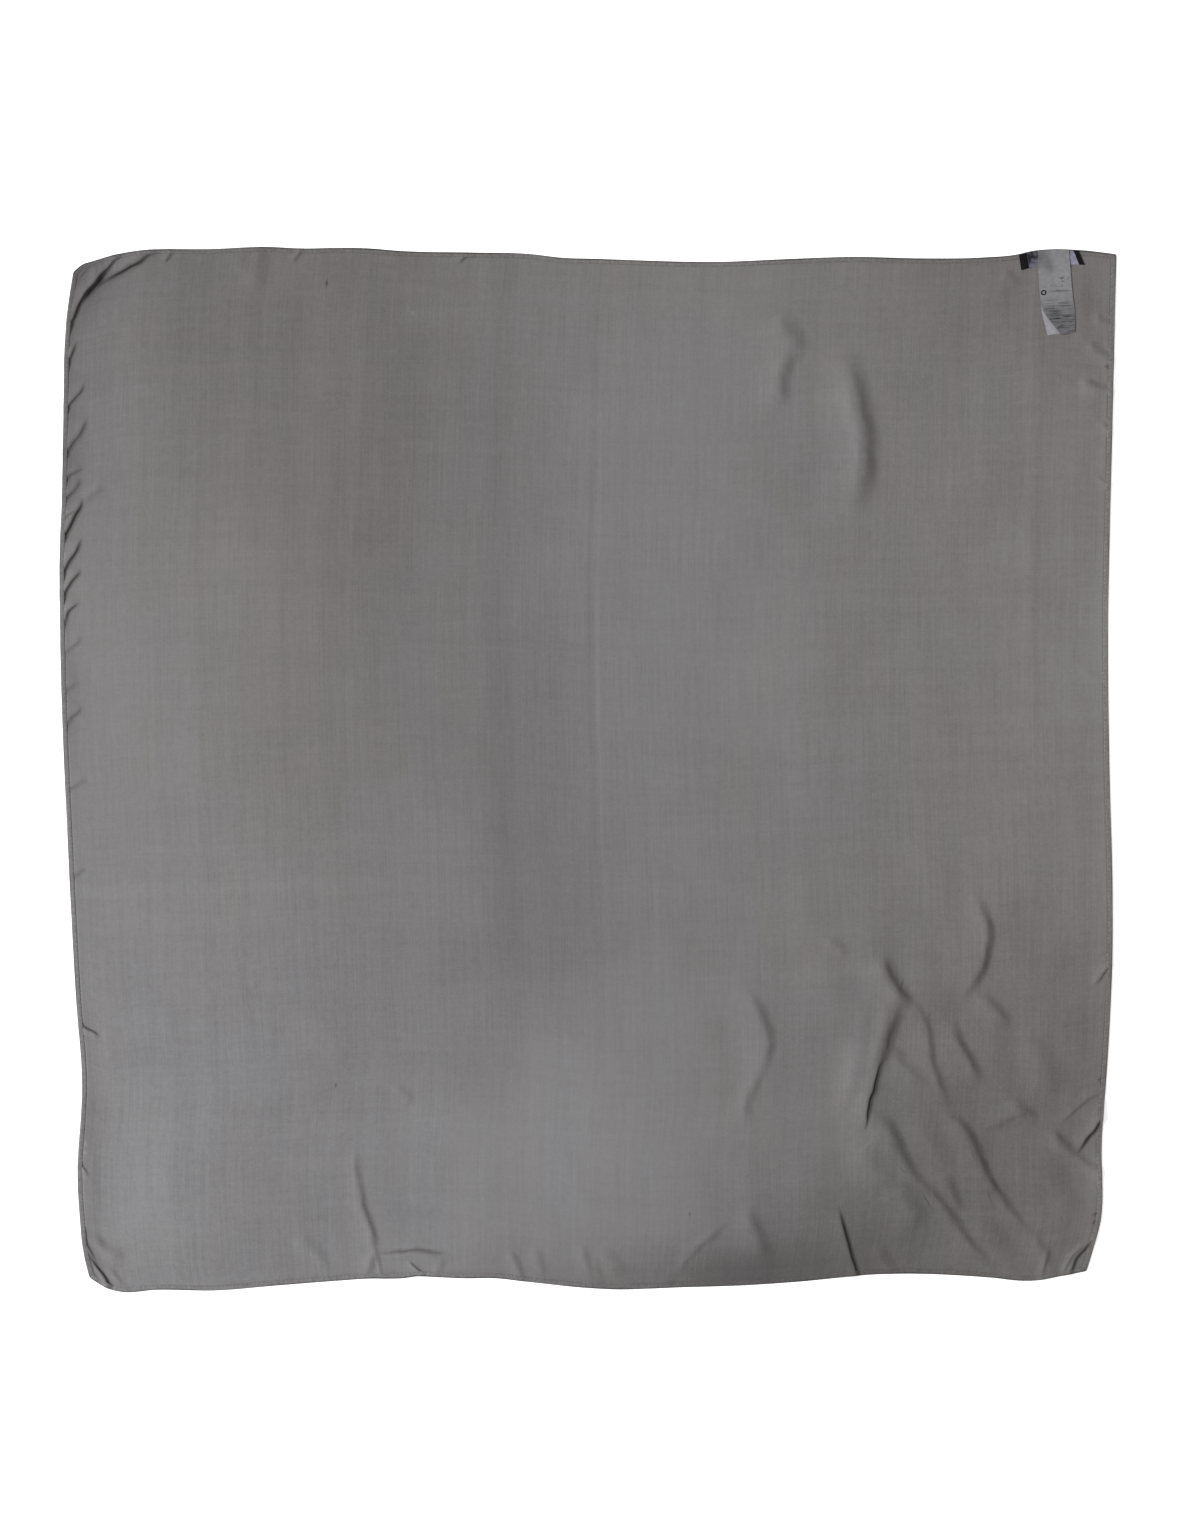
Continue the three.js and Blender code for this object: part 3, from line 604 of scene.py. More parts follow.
# %% The hem bands
HEM_THICK = 0.0008
HEM_STATIONS = 1013
HEM_RING = 14
HEM_OVERLAP = 0.0004  # how far the band reaches in over the panel's edge
HEM_LIFT = 0.0001  # how far its middle lies above the middle of the cloth
HEM_INNER = 0.75  # thickness at the inner side, as a share of the outer turn's
HEM_BLUNT = 0.8  # a power below 1 makes the section blunter than an ellipse
HEM_UNEVEN = 0.12  # slow changes of the thickness, as a share
HEM_WAVES = (5, 0.02, 0.07)  # number, shortest and longest of those changes
STITCH_PITCH = 0.0035
PUCKER = 0.14  # depth of a pucker, as a share of the thickness
CORNER_ROUND = 0.85  # how far out a corner reaches, as a share of its mitre
# Painted shade at the outer turn of each hem, partly its three layers: strongest along the top, and
# below 0 on the right, a painted light against the lamp's shade there.
HEM_PAINTED_SHADES = {"bottom": 0.6, "right": -0.2, "top": 0.95, "left": 0.2}  # at the outer turn
SHADE_PLACE = (0.6, 0.92)  # the shade comes in between these shares of the way out
SHADE_SPREAD = 1.2  # how much it changes along the hem
SHADE_WAVES = (9, 0.02, 0.15)

HEM_WIDTH = float(sides["left"][:, 0].min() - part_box("hem_left")[0].x)

SIDE_SHARES = {
    "bottom": lambda share: (share, 0 * share),
    "right": lambda share: (0 * share + 1, share),
    "top": lambda share: (share, 0 * share + 1),
    "left": lambda share: (0 * share, share),
}


def hem_line(side):
    """The edge of the panel along one side: points, outward directions and distances along it.
    The outward direction is the tangent turned by a quarter, and at each end it is the mitre
    with the next side, the sum of both normals over 1 plus their product."""
    share = np.linspace(0, 1, HEM_STATIONS)
    line = np.stack(lay(*SIDE_SHARES[side](share)), axis=1)
    tangent = np.gradient(line, axis=0)
    tangent /= np.linalg.norm(tangent, axis=1, keepdims=True)
    turn = 1 if side in ("bottom", "right") else -1
    outward = turn * np.stack([tangent[:, 1], -tangent[:, 0]], axis=1)
    distance = np.concatenate([[0], np.cumsum(np.linalg.norm(np.diff(line, axis=0), axis=1))])
    return line, outward, distance


hem_lines = {side: hem_line(side) for side in SIDE_SHARES}
NEXT_TO = {
    "bottom": (("left", 0), ("right", 0)),
    "right": (("bottom", -1), ("top", -1)),
    "top": (("left", -1), ("right", -1)),
    "left": (("bottom", 0), ("top", 0)),
}


def mitred(side):
    """The outward directions of a side, with both ends on the mitres of the corners."""
    outward = hem_lines[side][1].copy()
    for end, (other, place) in zip((0, -1), NEXT_TO[side]):
        beyond = hem_lines[other][1][place]
        mitre = (outward[end] + beyond) / (1 + outward[end] @ beyond)
        outward[end] = mitre * CORNER_ROUND
    return outward


def edge_height(side):
    """Height of the panel's edge along one side, at the hem's stations."""
    edge = {"bottom": height[0], "right": height[:, -1], "top": height[-1], "left": height[:, 0]}[side]
    return np.interp(np.linspace(0, 1, HEM_STATIONS), shares, edge)


def hem_band(side):
    """A flat rounded section carried along the edge. Across the band a point lies at the cosine
    of its angle, made blunter by a power, and up at its sine. The band is thickest at the outer
    turn, and each stitch pulls the upper side down by a cosine of the distance along the edge."""
    line, _, distance = hem_lines[side]
    outward = mitred(side)
    angle = np.linspace(0, 2 * np.pi, HEM_RING, endpoint=False)
    half = (HEM_WIDTH + HEM_OVERLAP) / 2
    blunt = np.sign(np.cos(angle)) * np.abs(np.cos(angle)) ** HEM_BLUNT
    across = half - HEM_OVERLAP - HEM_LAP + half * blunt
    share_out = (across - across.min()) / (across.max() - across.min())
    pucker = 1 - PUCKER * (0.5 + 0.5 * np.cos(2 * np.pi * distance / STITCH_PITCH))
    slow = 1 + HEM_UNEVEN * waves(distance, 0 * distance, *HEM_WAVES, seed=11)
    thick = HEM_THICK * slow[:, None] * (HEM_INNER + (1 - HEM_INNER) * share_out)[None, :] / 2
    lift = np.where(np.sin(angle) > 0, pucker[:, None], 1)
    middle = edge_height(side)[:, None] + CLOTH_WALL / 2 + HEM_LIFT
    up = np.maximum(middle + thick * np.sin(angle) * lift, BED)
    places = line[:, None, :] + across[None, :, None] * outward[:, None, :]
    points = np.concatenate([places, up[..., None]], axis=-1)
    station, place = np.indices((HEM_STATIONS - 1, HEM_RING))
    here = station * HEM_RING + place
    next_place = station * HEM_RING + (place + 1) % HEM_RING
    quads = np.stack([here, next_place, next_place + HEM_RING, here + HEM_RING], axis=-1).reshape(-1, 4)
    if side in ("bottom", "right"):
        quads = quads[:, ::-1]
    piece = make_piece(f"hem_{side}_band", points.reshape(-1, 3), quads)
    strength = HEM_PAINTED_SHADES[side] + SHADE_SPREAD * waves(distance, 0 * distance, *SHADE_WAVES, seed=13)
    add_field(piece, "painted_turn_shade", (strength[:, None] * smooth_step(*SHADE_PLACE, share_out)).ravel())
    add_map(piece, "flat", points.reshape(-1, 3)[:, :2] + (PANEL_ACROSS / 2, PANEL_ALONG / 2))
    return piece


def close_ends(piece, ring):
    """Puts a face on each open end of a tube and turns all faces outwards."""
    shape = bmesh.new()
    shape.from_mesh(piece.data)
    bmesh.ops.holes_fill(shape, edges=[edge for edge in shape.edges if edge.is_boundary], sides=ring)
    bmesh.ops.recalc_face_normals(shape, faces=shape.faces)
    shape.to_mesh(piece.data)
    shape.free()


hems = {}
for side in SIDE_SHARES:
    band = hem_band(side)
    close_ends(band, HEM_RING)
    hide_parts(f"hem_{side}")
    hems[side] = band
    print(band.name, len(band.data.polygons), "faces")

# %% [markdown]
# ## The stitches
#
# A machine stitch shows as a short bead of thread along the inner side of the hem. A thousand of
# them go round the cloth. One small bead is worked out once, and the same bead is set down at
# every pitch with one sum of arrays.

# %% The stitches
STITCH_LENGTH = 0.0019
STITCH_WIDE = 0.00042
STITCH_HIGH = 0.00030
STITCH_INSET = 0.0006  # from the hem's inner side
STITCH_LEVEL = 0.36  # how high up in the hem's thickness its middle lies
BEAD_SIDES = 6
BEAD_TURNS = (-0.7, 0, 0.7)  # the angles of its rings, from its middle


def bead():
    """A long round bead: three rings of six points between two tips. Its length runs along the
    first axis, its width along the second and its height along the third."""
    angle = np.linspace(0, 2 * np.pi, BEAD_SIDES, endpoint=False)
    rings = []
    for turn in BEAD_TURNS:
        wide = np.cos(turn) * np.cos(angle)
        high = np.cos(turn) * np.sin(angle)
        rings.append(np.stack([np.sin(turn) + 0 * angle, wide, high], axis=1))
    points = np.concatenate([[[-1, 0, 0]], *rings, [[1, 0, 0]]])
    far_tip = 1 + 3 * BEAD_SIDES
    far_ring = far_tip - BEAD_SIDES
    faces = []
    for place in range(BEAD_SIDES):
        beyond = (place + 1) % BEAD_SIDES
        faces.append((0, 1 + beyond, 1 + place))
        faces.append((far_tip, far_ring + place, far_ring + beyond))
        for ring in (1, 1 + BEAD_SIDES):
            faces.append((ring + place, ring + beyond, ring + BEAD_SIDES + beyond))
            faces.append((ring + place, ring + BEAD_SIDES + beyond, ring + BEAD_SIDES + place))
    return points / 2 * (STITCH_LENGTH, STITCH_WIDE, STITCH_HIGH), np.array(faces)


def stitch_row(side):
    """Beads along the inner side of a hem, one at each pitch, in the troughs of the puckers."""
    line, outward, distance = hem_lines[side]
    at = np.arange(1, int(distance[-1] / STITCH_PITCH)) * STITCH_PITCH
    place = np.stack([np.interp(at, distance, column) for column in line.T], axis=1)
    out = np.stack([np.interp(at, distance, column) for column in outward.T], axis=1)
    out /= np.linalg.norm(out, axis=1, keepdims=True)
    along = np.stack([-out[:, 1], out[:, 0]], axis=1)
    centre = place + out * (STITCH_INSET - HEM_OVERLAP - HEM_LAP)
    top = np.interp(at, distance, edge_height(side)) + CLOTH_WALL / 2 + HEM_THICK * STITCH_LEVEL
    points, faces = bead()
    flat = centre[:, None] + points[None, :, :1] * along[:, None] + points[None, :, 1:2] * out[:, None]
    up = top[:, None] + points[None, :, 2]
    everywhere = np.concatenate([flat, up[..., None]], axis=-1).reshape(-1, 3)
    numbered = (faces[None] + np.arange(len(at))[:, None, None] * len(points)).reshape(-1, 3)
    piece = make_piece(f"stitches_{side}", everywhere, numbered)
    return piece, len(at)


stitches = {}
for side in SIDE_SHARES:
    stitches[side], count = stitch_row(side)
    print(count, "stitches on the", side, "hem")

# %% [markdown]
# ## The labels
#
# A short woven label lies along the top edge, with its black ends turned under. On it hangs a
# care label of thin satin, with two long narrow leaves. The lower left corner of the front leaf
# is curled away, so a bright corner of the back leaf shows. Each leaf is a surface over two
# shares, across and down, that follows the hem and the cloth under it.

# %% Sizes of the labels
LABEL_WALL = 0.00015
LABEL_SET = 0.0008  # the labels start this far below the outer edge
LABEL_GAP = 0.0001  # air under a label
STEP_BEFORE = 0.001  # a label steps down off what it lies on from this far before its end
HEM_STEP = 0.003  # to this far past the hem
WOVEN_STEP = 0.004  # or this far past the woven label
WOVEN_WIDTH = 0.051
WOVEN_DEPTH = 0.0126
WOVEN_START = 1.08  # depth of its left end, as a share
WOVEN_LOSS = 0.16  # how much shallower its right end is
WOVEN_CELL = 0.0006  # distance between its columns of points
WOVEN_ROWS = 26
WOVEN_RIPPLE = 0.00012
WOVEN_WAVES = (6, 0.006, 0.02)  # number, shortest and longest
WOVEN_LAP = 0.0002  # how far the field runs under the ends
END_LIFT = 0.0001  # the turned ends lie higher, for they are double
WOVEN_END_LEFT = 0.0064
WOVEN_END_RIGHT = 0.0044
LEFT_END_LEAN = 0.17
RIGHT_END_LEAN = 0.43
CARE_INSET = 0.0163
CARE_WIDTH = 0.026
CARE_LENGTH = 0.072
CARE_SKEW = 0.04
CARE_CLEAR = 0.0002  # how far the care label stays above the woven one
CARE_RIPPLE = 0.0001
CARE_WAVES = (6, 0.012, 0.035)
CARE_RIPPLE_PLACE = (0.01, 0.03)  # it grows from nothing between these distances down
LEAF_ROWS = 120
LEAF_COLUMNS = 40
LEAF_LIFT = 0.00005  # air under each leaf
CURL_RISE = 0.0010  # how high the front leaf's free corner stands
CURL_START = 0.55  # share of the way down where the curl begins
CURL_POWER = 1.5

woven_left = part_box("woven_label_end_left")[0].x
top_line = hem_lines["top"][0]


def top_of_cloth(x):
    """The outer top edge of the cloth at a distance from the middle, hem included."""
    return np.interp(x, top_line[:, 0], top_line[:, 1]) + HEM_WIDTH - HEM_LAP


def cloth_top(x, y):
    """Height of the cloth's upper side at a place. Its shares are found by reading the side
    curves at the last guess, three times over."""
    across, up = x / PANEL_ACROSS + 0.5, y / PANEL_ALONG + 0.5
    for _ in range(3):
        left, right = left_edge(up), right_edge(up)
        bottom, top = bottom_edge(across), top_edge(across)
        across, up = (x - left) / (right - left), (y - bottom) / (top - bottom)
    column, row = (np.rint(np.clip(at, 0, 1) * GRID_CELLS).astype(int) for at in (across, up))
    return height[row, column] + CLOTH_WALL


def under_label(x, y, down):
    """Height of what a label lies on: the hem's upper side, then down to the cloth."""
    step = smooth_step(HEM_WIDTH - STEP_BEFORE, HEM_WIDTH + HEM_STEP, down)
    return cloth_top(x, y) + LABEL_GAP + HEM_THICK / 2 * (1 - step)


def leaf_piece(name, x, y, z):
    """A sheet from three grids of places, top row first, with its shares as a UV map."""
    rows, columns = x.shape
    points = np.stack([x, y, z], axis=-1).reshape(-1, 3)
    row, column = np.indices((rows - 1, columns - 1))
    here = row * columns + column
    quads = np.stack([here, here + columns, here + columns + 1, here + 1], axis=-1).reshape(-1, 4)
    piece = make_piece(name, points, quads, smooth=False)
    down, across = np.meshgrid(np.linspace(1, 0, rows), np.linspace(0, 1, columns), indexing="ij")
    add_map(piece, "leaf", np.stack([across, down], axis=-1).reshape(-1, 2))
    add_wall(piece, LABEL_WALL)
    return piece


# %% The woven label
def woven_stretch(name, start, end, lift=0.0):
    """A stretch of the tape. It leans further right the further along and down it is, and is a
    little shallower towards its right end."""
    columns = max(int((end - start) / WOVEN_CELL), 8)
    rows = np.linspace(0, WOVEN_DEPTH, WOVEN_ROWS)
    along, down = np.meshgrid(np.linspace(start, end, columns), rows)
    lean = LEFT_END_LEAN + (RIGHT_END_LEAN - LEFT_END_LEAN) * along / WOVEN_WIDTH
    x = woven_left + along + lean * down
    down = down * (WOVEN_START - WOVEN_LOSS * along / WOVEN_WIDTH)
    y = top_of_cloth(x) - down - LABEL_SET
    ripple = WOVEN_RIPPLE * waves(x, y, *WOVEN_WAVES, seed=17)
    return leaf_piece(name, x, y, under_label(x, y, down) + LABEL_GAP + ripple + lift)


right_start = WOVEN_WIDTH - WOVEN_END_RIGHT
woven_end_left = woven_stretch("woven_label_black_left", 0, WOVEN_END_LEFT, END_LIFT)
woven_field = woven_stretch("woven_label_lilac", WOVEN_END_LEFT - WOVEN_LAP, right_start + WOVEN_LAP)
woven_end_right = woven_stretch("woven_label_black_right", right_start, WOVEN_WIDTH, END_LIFT)
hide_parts("woven_label_end_left")
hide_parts("woven_label_field")
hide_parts("woven_label_end_right")
print("woven label", WOVEN_WIDTH, "by", WOVEN_DEPTH, "m")

# %% The care label
FRONT_SIDES = table("down left right", """
0 0 1.02
0.2 0.01 1.07
0.46 0.05 1.12
0.6 0.09 1.16
0.72 0.17 1.21
0.8 0.3 1.22
0.88 0.47 1.23
1.01 0.76 1.22
""")
BACK_SIDES = table("down left right", """
0 0.03 0.99
0.46 0.08 1.07
0.62 0.11 1.12
0.73 0.13 1.15
1.015 0.32 1.1
""")


def care_leaf(name, sides_of_leaf, lift, curl):
    """One leaf. Its left and right sides run straight between the rows of its table. The curl is
    a smooth step down the leaf, times a power of how near a point is to the left side."""
    share = np.linspace(0, sides_of_leaf["down"][-1], LEAF_ROWS)
    left = np.interp(share, sides_of_leaf["down"], sides_of_leaf["left"]) * CARE_WIDTH
    right = np.interp(share, sides_of_leaf["down"], sides_of_leaf["right"]) * CARE_WIDTH
    across = np.linspace(0, 1, LEAF_COLUMNS)
    x = woven_left + CARE_INSET + left[:, None] + (right - left)[:, None] * across[None, :]
    down = share[:, None] * CARE_LENGTH * (1 - CARE_SKEW * across[None, :])
    y = top_of_cloth(x) - down - LABEL_SET
    past_woven = smooth_step(WOVEN_DEPTH - STEP_BEFORE, WOVEN_DEPTH + WOVEN_STEP, down)
    z = under_label(x, y, down) + LEAF_LIFT + (1 - past_woven) * (LABEL_WALL + CARE_CLEAR) + lift
    near = smooth_step(CURL_START, 1, share)[:, None] * (1 - across[None, :]) ** CURL_POWER
    ripple = CARE_RIPPLE * waves(x, y, *CARE_WAVES, seed=23) * smooth_step(*CARE_RIPPLE_PLACE, down)
    return leaf_piece(name, x, y, z + curl * near + ripple)


care_back = care_leaf("care_label_back_leaf", BACK_SIDES, 0, 0)
care_front = care_leaf("care_label_front_leaf", FRONT_SIDES, LABEL_WALL + LEAF_LIFT, CURL_RISE)
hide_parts("care_label_back")
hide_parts("care_label_front")
print("care label", CARE_WIDTH, "by", CARE_LENGTH, "m")

# %% [markdown]
# ## Finishes
#
# All finishes are made of nodes, and read either the flat map of the cloth, in metres, or the
# shares of a label. A few small helpers keep the node code short. They add a node and join its
# inputs, do arithmetic, and make smooth steps, soft stripes from stretched noise, soft round
# patches and a ring.

# %% Helpers for finishes
RING_LEVEL = 0.34  # the ring is drawn where the nearness is this
RING_BAND = 0.24  # give or take this


def new_finish(name, roughness, sheen=0.0, gloss=0.25):
    """A material with its shader node. What is the same all over is set on the shader itself."""
    finish = bpy.data.materials.new(name)
    finish.use_nodes = True
    shader = finish.node_tree.nodes["Principled BSDF"]
    shader.inputs["Roughness"].default_value = roughness
    shader.inputs["Specular IOR Level"].default_value = gloss
    shader.inputs["Sheen Weight"].default_value = sheen
    return finish, finish.node_tree, shader


def add_node(tree, kind, joined=None, **settings):
    """Adds a node. joined gives its inputs by name or number, as values or as other outputs."""
    node = tree.nodes.new(kind)
    for name, value in settings.items():
        setattr(node, name, value)
    for name, value in (joined or {}).items():
        if isinstance(value, bpy.types.NodeSocket):
            tree.links.new(value, node.inputs[name])
        else:
            node.inputs[name].default_value = value
    return node


def calc(tree, operation, *values):
    """One step of arithmetic on sockets or numbers."""
    return add_node(tree, "ShaderNodeMath", dict(enumerate(values)), operation=operation).outputs[0]


def stripes(tree, place, wide, tall, strength, detail=1.0):
    """Soft noise, stretched to patches of wide by tall metres, centred on nothing: between about
    minus and plus half of strength."""
    spread = add_node(tree, "ShaderNodeMapping", {"Vector": place, "Scale": (1 / wide, 1 / tall, 1)})
    noise = add_node(
        tree,
        "ShaderNodeTexNoise",
        {"Vector": spread.outputs[0], "Scale": 1.0, "Detail": detail, "Roughness": 0.5},
        noise_dimensions="2D",
    )
    return calc(tree, "MULTIPLY", calc(tree, "SUBTRACT", noise.outputs[0], 0.5), strength)


def nearness(tree, place, centre, reach):
    """1 at a centre, and from there evenly down to 0 at the reach."""
    moved = add_node(
        tree,
        "ShaderNodeMapping",
        {"Vector": place, "Location": (*centre, 0), "Scale": (*reach, 1)},
        vector_type="TEXTURE",
    )
    ball = add_node(
        tree,
        "ShaderNodeTexGradient",
        {"Vector": moved.outputs[0]},
        gradient_type="SPHERICAL",
    )
    return ball.outputs["Fac"]


def step_between(tree, value, low, high, strength=1.0):
    """0 below low, strength above high, smooth between them."""
    node = add_node(
        tree,
        "ShaderNodeMapRange",
        {"Value": value, "From Min": low, "From Max": high, "To Max": strength},
        interpolation_type="SMOOTHSTEP",
    )
    return node.outputs[0]


def soft_patch(tree, place, centre, reach, strength):
    """A round soft patch: strength at its centre, nothing past its reach."""
    return step_between(tree, nearness(tree, place, centre, reach), 0, 1, strength)


def ring_mark(tree, place, centre, reach):
    """1 on a thin ring, 0 beside it. The ring lies a little inside its reach."""
    return calc(tree, "COMPARE", nearness(tree, place, centre, reach), RING_LEVEL, RING_BAND)


def total(tree, values):
    """The sum of several outputs."""
    sum_so_far = values[0]
    for value in values[1:]:
        sum_so_far = calc(tree, "ADD", sum_so_far, value)
    return sum_so_far


def ramp_colour(tree, value, stops):
    """A colour from a value between 0 and 1, through a few stops."""
    node = add_node(tree, "ShaderNodeValToRGB", {"Fac": value})
    ramp = node.color_ramp
    ramp.elements[0].position = stops[0][0]
    ramp.elements[0].color = (*stops[0][1], 1)
    ramp.elements[1].position = stops[-1][0]
    ramp.elements[1].color = (*stops[-1][1], 1)
    for position, colour in stops[1:-1]:
        ramp.elements.new(position).color = (*colour, 1)
    return node.outputs["Color"]


print("helpers for finishes are ready")

# %% [markdown]
# ## The cloth's finish
#
# The colour is a taupe grey that is cooler where it is light and warmer where it is dark. Three
# things change it. Soft broad patches, lighter and darker: some are uneven yarn, in bands along the
# warp and the weft, and some are painted light. Light through the fine cloth is painted lighter
# where it lies close on the pale ground, a painted highlight lies low on the left, painted shade
# darkens the lower right and the left edge beside the tucks, painted shadow lies beside the labels,
# and the cloth is darker along the bottom edge. Streaks along the warp and fainter ones along the
# weft: the yarn isn't even, and where they are stronger in the lower left they are a painted sheen.
# And the pinch field, the dark lines where the cloth lies double, which are painted shade too, on
# the shaded flanks of the folds. The threads themselves are bump, a checkerboard of sines at the
# thread's pitch.

# %% The cloth's finish
CLOTH_WEAVE = (0.00036, 0.35, 0.00006)  # pitch of the threads, strength and depth of the bump
# These patches are partly uneven yarn and neps and partly painted light: a painted highlight low on the
# left, painted shade to the lower right and along the left edge beside the tucks, painted shadow on
# both sides of the labels, and darker along the bottom edge.
# x and y: centre as shares of the cloth. wide and tall: reach as shares. tone: lighter or darker
TONE_AND_PAINTED_LIGHT_PATCHES = table("x y wide tall tone", """
0.04 0.06 0.24 0.50 0.14
0.06 0.45 0.20 0.60 0.06
0.43 0.12 0.30 0.22 0.16
0.32 0.68 0.20 0.45 -0.10
0.12 0.98 0.52 0.42 -0.20
0.58 0.75 0.14 0.50 0.05
0.44 0.42 0.12 0.35 -0.07
0.62 0.22 0.25 0.20 0.03
0.88 0.10 0.34 0.34 -0.21
1.00 0.62 0.24 0.45 0.10
0.90 0.98 0.25 0.18 -0.10
0.72 0.03 0.20 0.10 -0.15
0.62 0.00 0.30 0.06 -0.22
0.416 0.50 0.025 0.90 -0.06
0.505 0.70 0.005 0.50 -0.05
0.513 0.68 0.004 0.50 0.07
0.922 0.78 0.006 0.35 0.06
0.933 0.72 0.006 0.35 -0.05
0.20 0.384 0.40 0.012 0.035
0.22 0.36 0.45 0.03 0.02
0.455 0.183 0.09 0.12 0.08
0.06 0.105 0.05 0.14 0.10
0.30 0.76 0.07 0.32 -0.04
0.06 0.87 0.06 0.20 0.07
0.27 0.87 0.07 0.10 0.06
0.685 0.60 0.07 0.22 0.09
0.74 0.15 0.07 0.14 0.09
0.19 0.22 0.10 0.07 0.06
0.29 0.02 0.13 0.05 0.09
0.54 0.27 0.10 0.08 0.05
0.90 0.78 0.05 0.12 -0.05
0.925 0.36 0.03 0.14 -0.06
0.00 0.80 0.03 0.11 -0.12
0.00 0.57 0.035 0.10 -0.09
0.645 0.012 0.07 0.03 -0.10
0.00 0.15 0.03 0.18 -0.10
0.00 0.02 0.04 0.04 -0.22
0.01 0.98 0.04 0.06 -0.20
1.00 0.63 0.03 0.14 0.08
1.00 0.10 0.02 0.06 0.10
0.2455 0.968 0.0022 0.0050 -0.50
0.330 0.942 0.0035 0.0035 0.22
0.597 0.069 0.0016 0.0040 -0.30
0.2465 0.1875 0.0022 0.0040 -0.40
0.20 0.51 0.10 0.15 -0.04
0.37 0.43 0.07 0.14 0.05
0.40 0.20 0.12 0.07 -0.06
0.38 0.04 0.05 0.06 0.06
0.99 0.08 0.03 0.07 0.10
0.898 0.960 0.010 0.035 -0.10
0.975 0.950 0.012 0.050 -0.10
""")
STREAKS = table("wide tall strength", """
0.0012 0.060 0.130
0.0028 0.200 0.055
0.0070 0.500 0.045
0.0200 0.900 0.050
0.0400 0.0012 0.055
0.1200 0.0035 0.030
0.4000 0.0110 0.038
0.0020 0.0020 0.120
0.0060 0.0060 0.080
0.0300 0.0300 0.060
0.0800 0.0800 0.068
""")
TONE_STOPS = [
    (0.0, (0.006, 0.0055, 0.0055)),
    (0.35, (0.0975, 0.091, 0.0892)),
    (0.5, (0.1515, 0.144, 0.143)),
    (0.7, (0.219, 0.215, 0.216)),
    (1.0, (0.320, 0.318, 0.321)),
]
TINT_STOPS = [(0.0, (1.0, 0.978, 0.96)), (1.0, (0.972, 0.982, 1.0))]
TINT_PATCHES = table("x y wide tall tone", """
1.00 0.50 0.45 1.20 -1.0
0.24 0.80 0.22 0.50 -0.7
0.50 0.60 0.16 0.60 0.2
0.10 0.20 0.40 0.50 0.2
0.15 0.55 0.20 0.45 -0.4
0.60 1.00 0.90 0.18 -0.4
""")
TINT_STREAKS = [(0.006, 0.20, 0.5), (0.04, 0.12, 1.1), (0.12, 0.015, 0.5)]
TINT_LEVEL = 0.7
# Where the streaks are stronger: centre and reach in metres, and by how much. In the lower left
# the stronger streaks are a painted sheen.
GAIN_PATCHES = [((0.09, 0.09), (0.34, 0.5), 0.6), ((0.84, 0.45), (0.34, 0.8), 0.4)]


def weave_bump(tree, place, pitch, strength, depth):
    """Threads over and under: the product of two sines, one along each thread direction."""
    split = add_node(tree, "ShaderNodeSeparateXYZ", {"Vector": place})
    number = np.pi / pitch
    warp = calc(tree, "SINE", calc(tree, "MULTIPLY", split.outputs["X"], number))
    weft = calc(tree, "SINE", calc(tree, "MULTIPLY", split.outputs["Y"], number))
    height_of_threads = calc(tree, "MULTIPLY", warp, weft)
    bump = add_node(
        tree,
        "ShaderNodeBump",
        {"Height": height_of_threads, "Strength": strength, "Distance": depth},
    )
    return bump.outputs["Normal"]


def cloth_patches(tree, place, patches):
    """The soft patches of a table, one output each."""
    size = np.array([PANEL_ACROSS, PANEL_ALONG])
    centres = np.stack([patches["x"], patches["y"]], axis=1) * size
    reaches = np.stack([patches["wide"], patches["tall"]], axis=1) * size
    rows = zip(centres, reaches, patches["tone"])
    return [soft_patch(tree, place, centre, reach, tone) for centre, reach, tone in rows]


def cloth_tone(tree, place):
    """1, plus the soft patches of tone and painted light, plus the streaks times a gain. The gain
    is higher in the lower left, a painted sheen where the threads catch the light, and on the right."""
    patches = total(tree, cloth_patches(tree, place, TONE_AND_PAINTED_LIGHT_PATCHES))
    streaks = total(tree, [stripes(tree, place, *row) for row in zip(*STREAKS.values())])
    gain = total(tree, [*(soft_patch(tree, place, *row) for row in GAIN_PATCHES), 1.0])
    return calc(tree, "ADD", calc(tree, "MULTIPLY_ADD", streaks, gain, patches), 1.0)


def cloth_colour(tree, place, tone):
    """The taupe of a tone, tinted cooler where the tint is high and warmer where it is low."""
    taupe = ramp_colour(tree, calc(tree, "MULTIPLY", tone, 0.5), TONE_STOPS)
    parts = cloth_patches(tree, place, TINT_PATCHES)
    for wide, tall, strength in TINT_STREAKS:
        parts.append(stripes(tree, place, wide, tall, strength))
    tint = ramp_colour(tree, calc(tree, "ADD", total(tree, parts), TINT_LEVEL), TINT_STOPS)
    tinted = add_node(tree, "ShaderNodeVectorMath", {0: taupe, 1: tint}, operation="MULTIPLY")
    return tinted.outputs[0]


def taupe_finish(name, share_of_tone):
    """The cloth's colour, with its tone times what the given function makes of the place."""
    finish, tree, shader = new_finish(name, roughness=0.9, sheen=0.1)
    place = add_node(tree, "ShaderNodeUVMap", uv_map="flat").outputs["UV"]
    tone = calc(tree, "MULTIPLY", cloth_tone(tree, place), share_of_tone(tree, place))
    tree.links.new(cloth_colour(tree, place, tone), shader.inputs["Base Color"])
    tree.links.new(weave_bump(tree, place, *CLOTH_WEAVE), shader.inputs["Normal"])
    return finish


def pinch_shading(tree, _):
    """1 less the pinch: darker along the creases, painted shade that is partly the cloth lying double.
    """
    pinch_shade_value = add_node(tree, "ShaderNodeAttribute", attribute_name="pinch").outputs["Fac"]
    return calc(tree, "SUBTRACT", 1.0, pinch_shade_value)


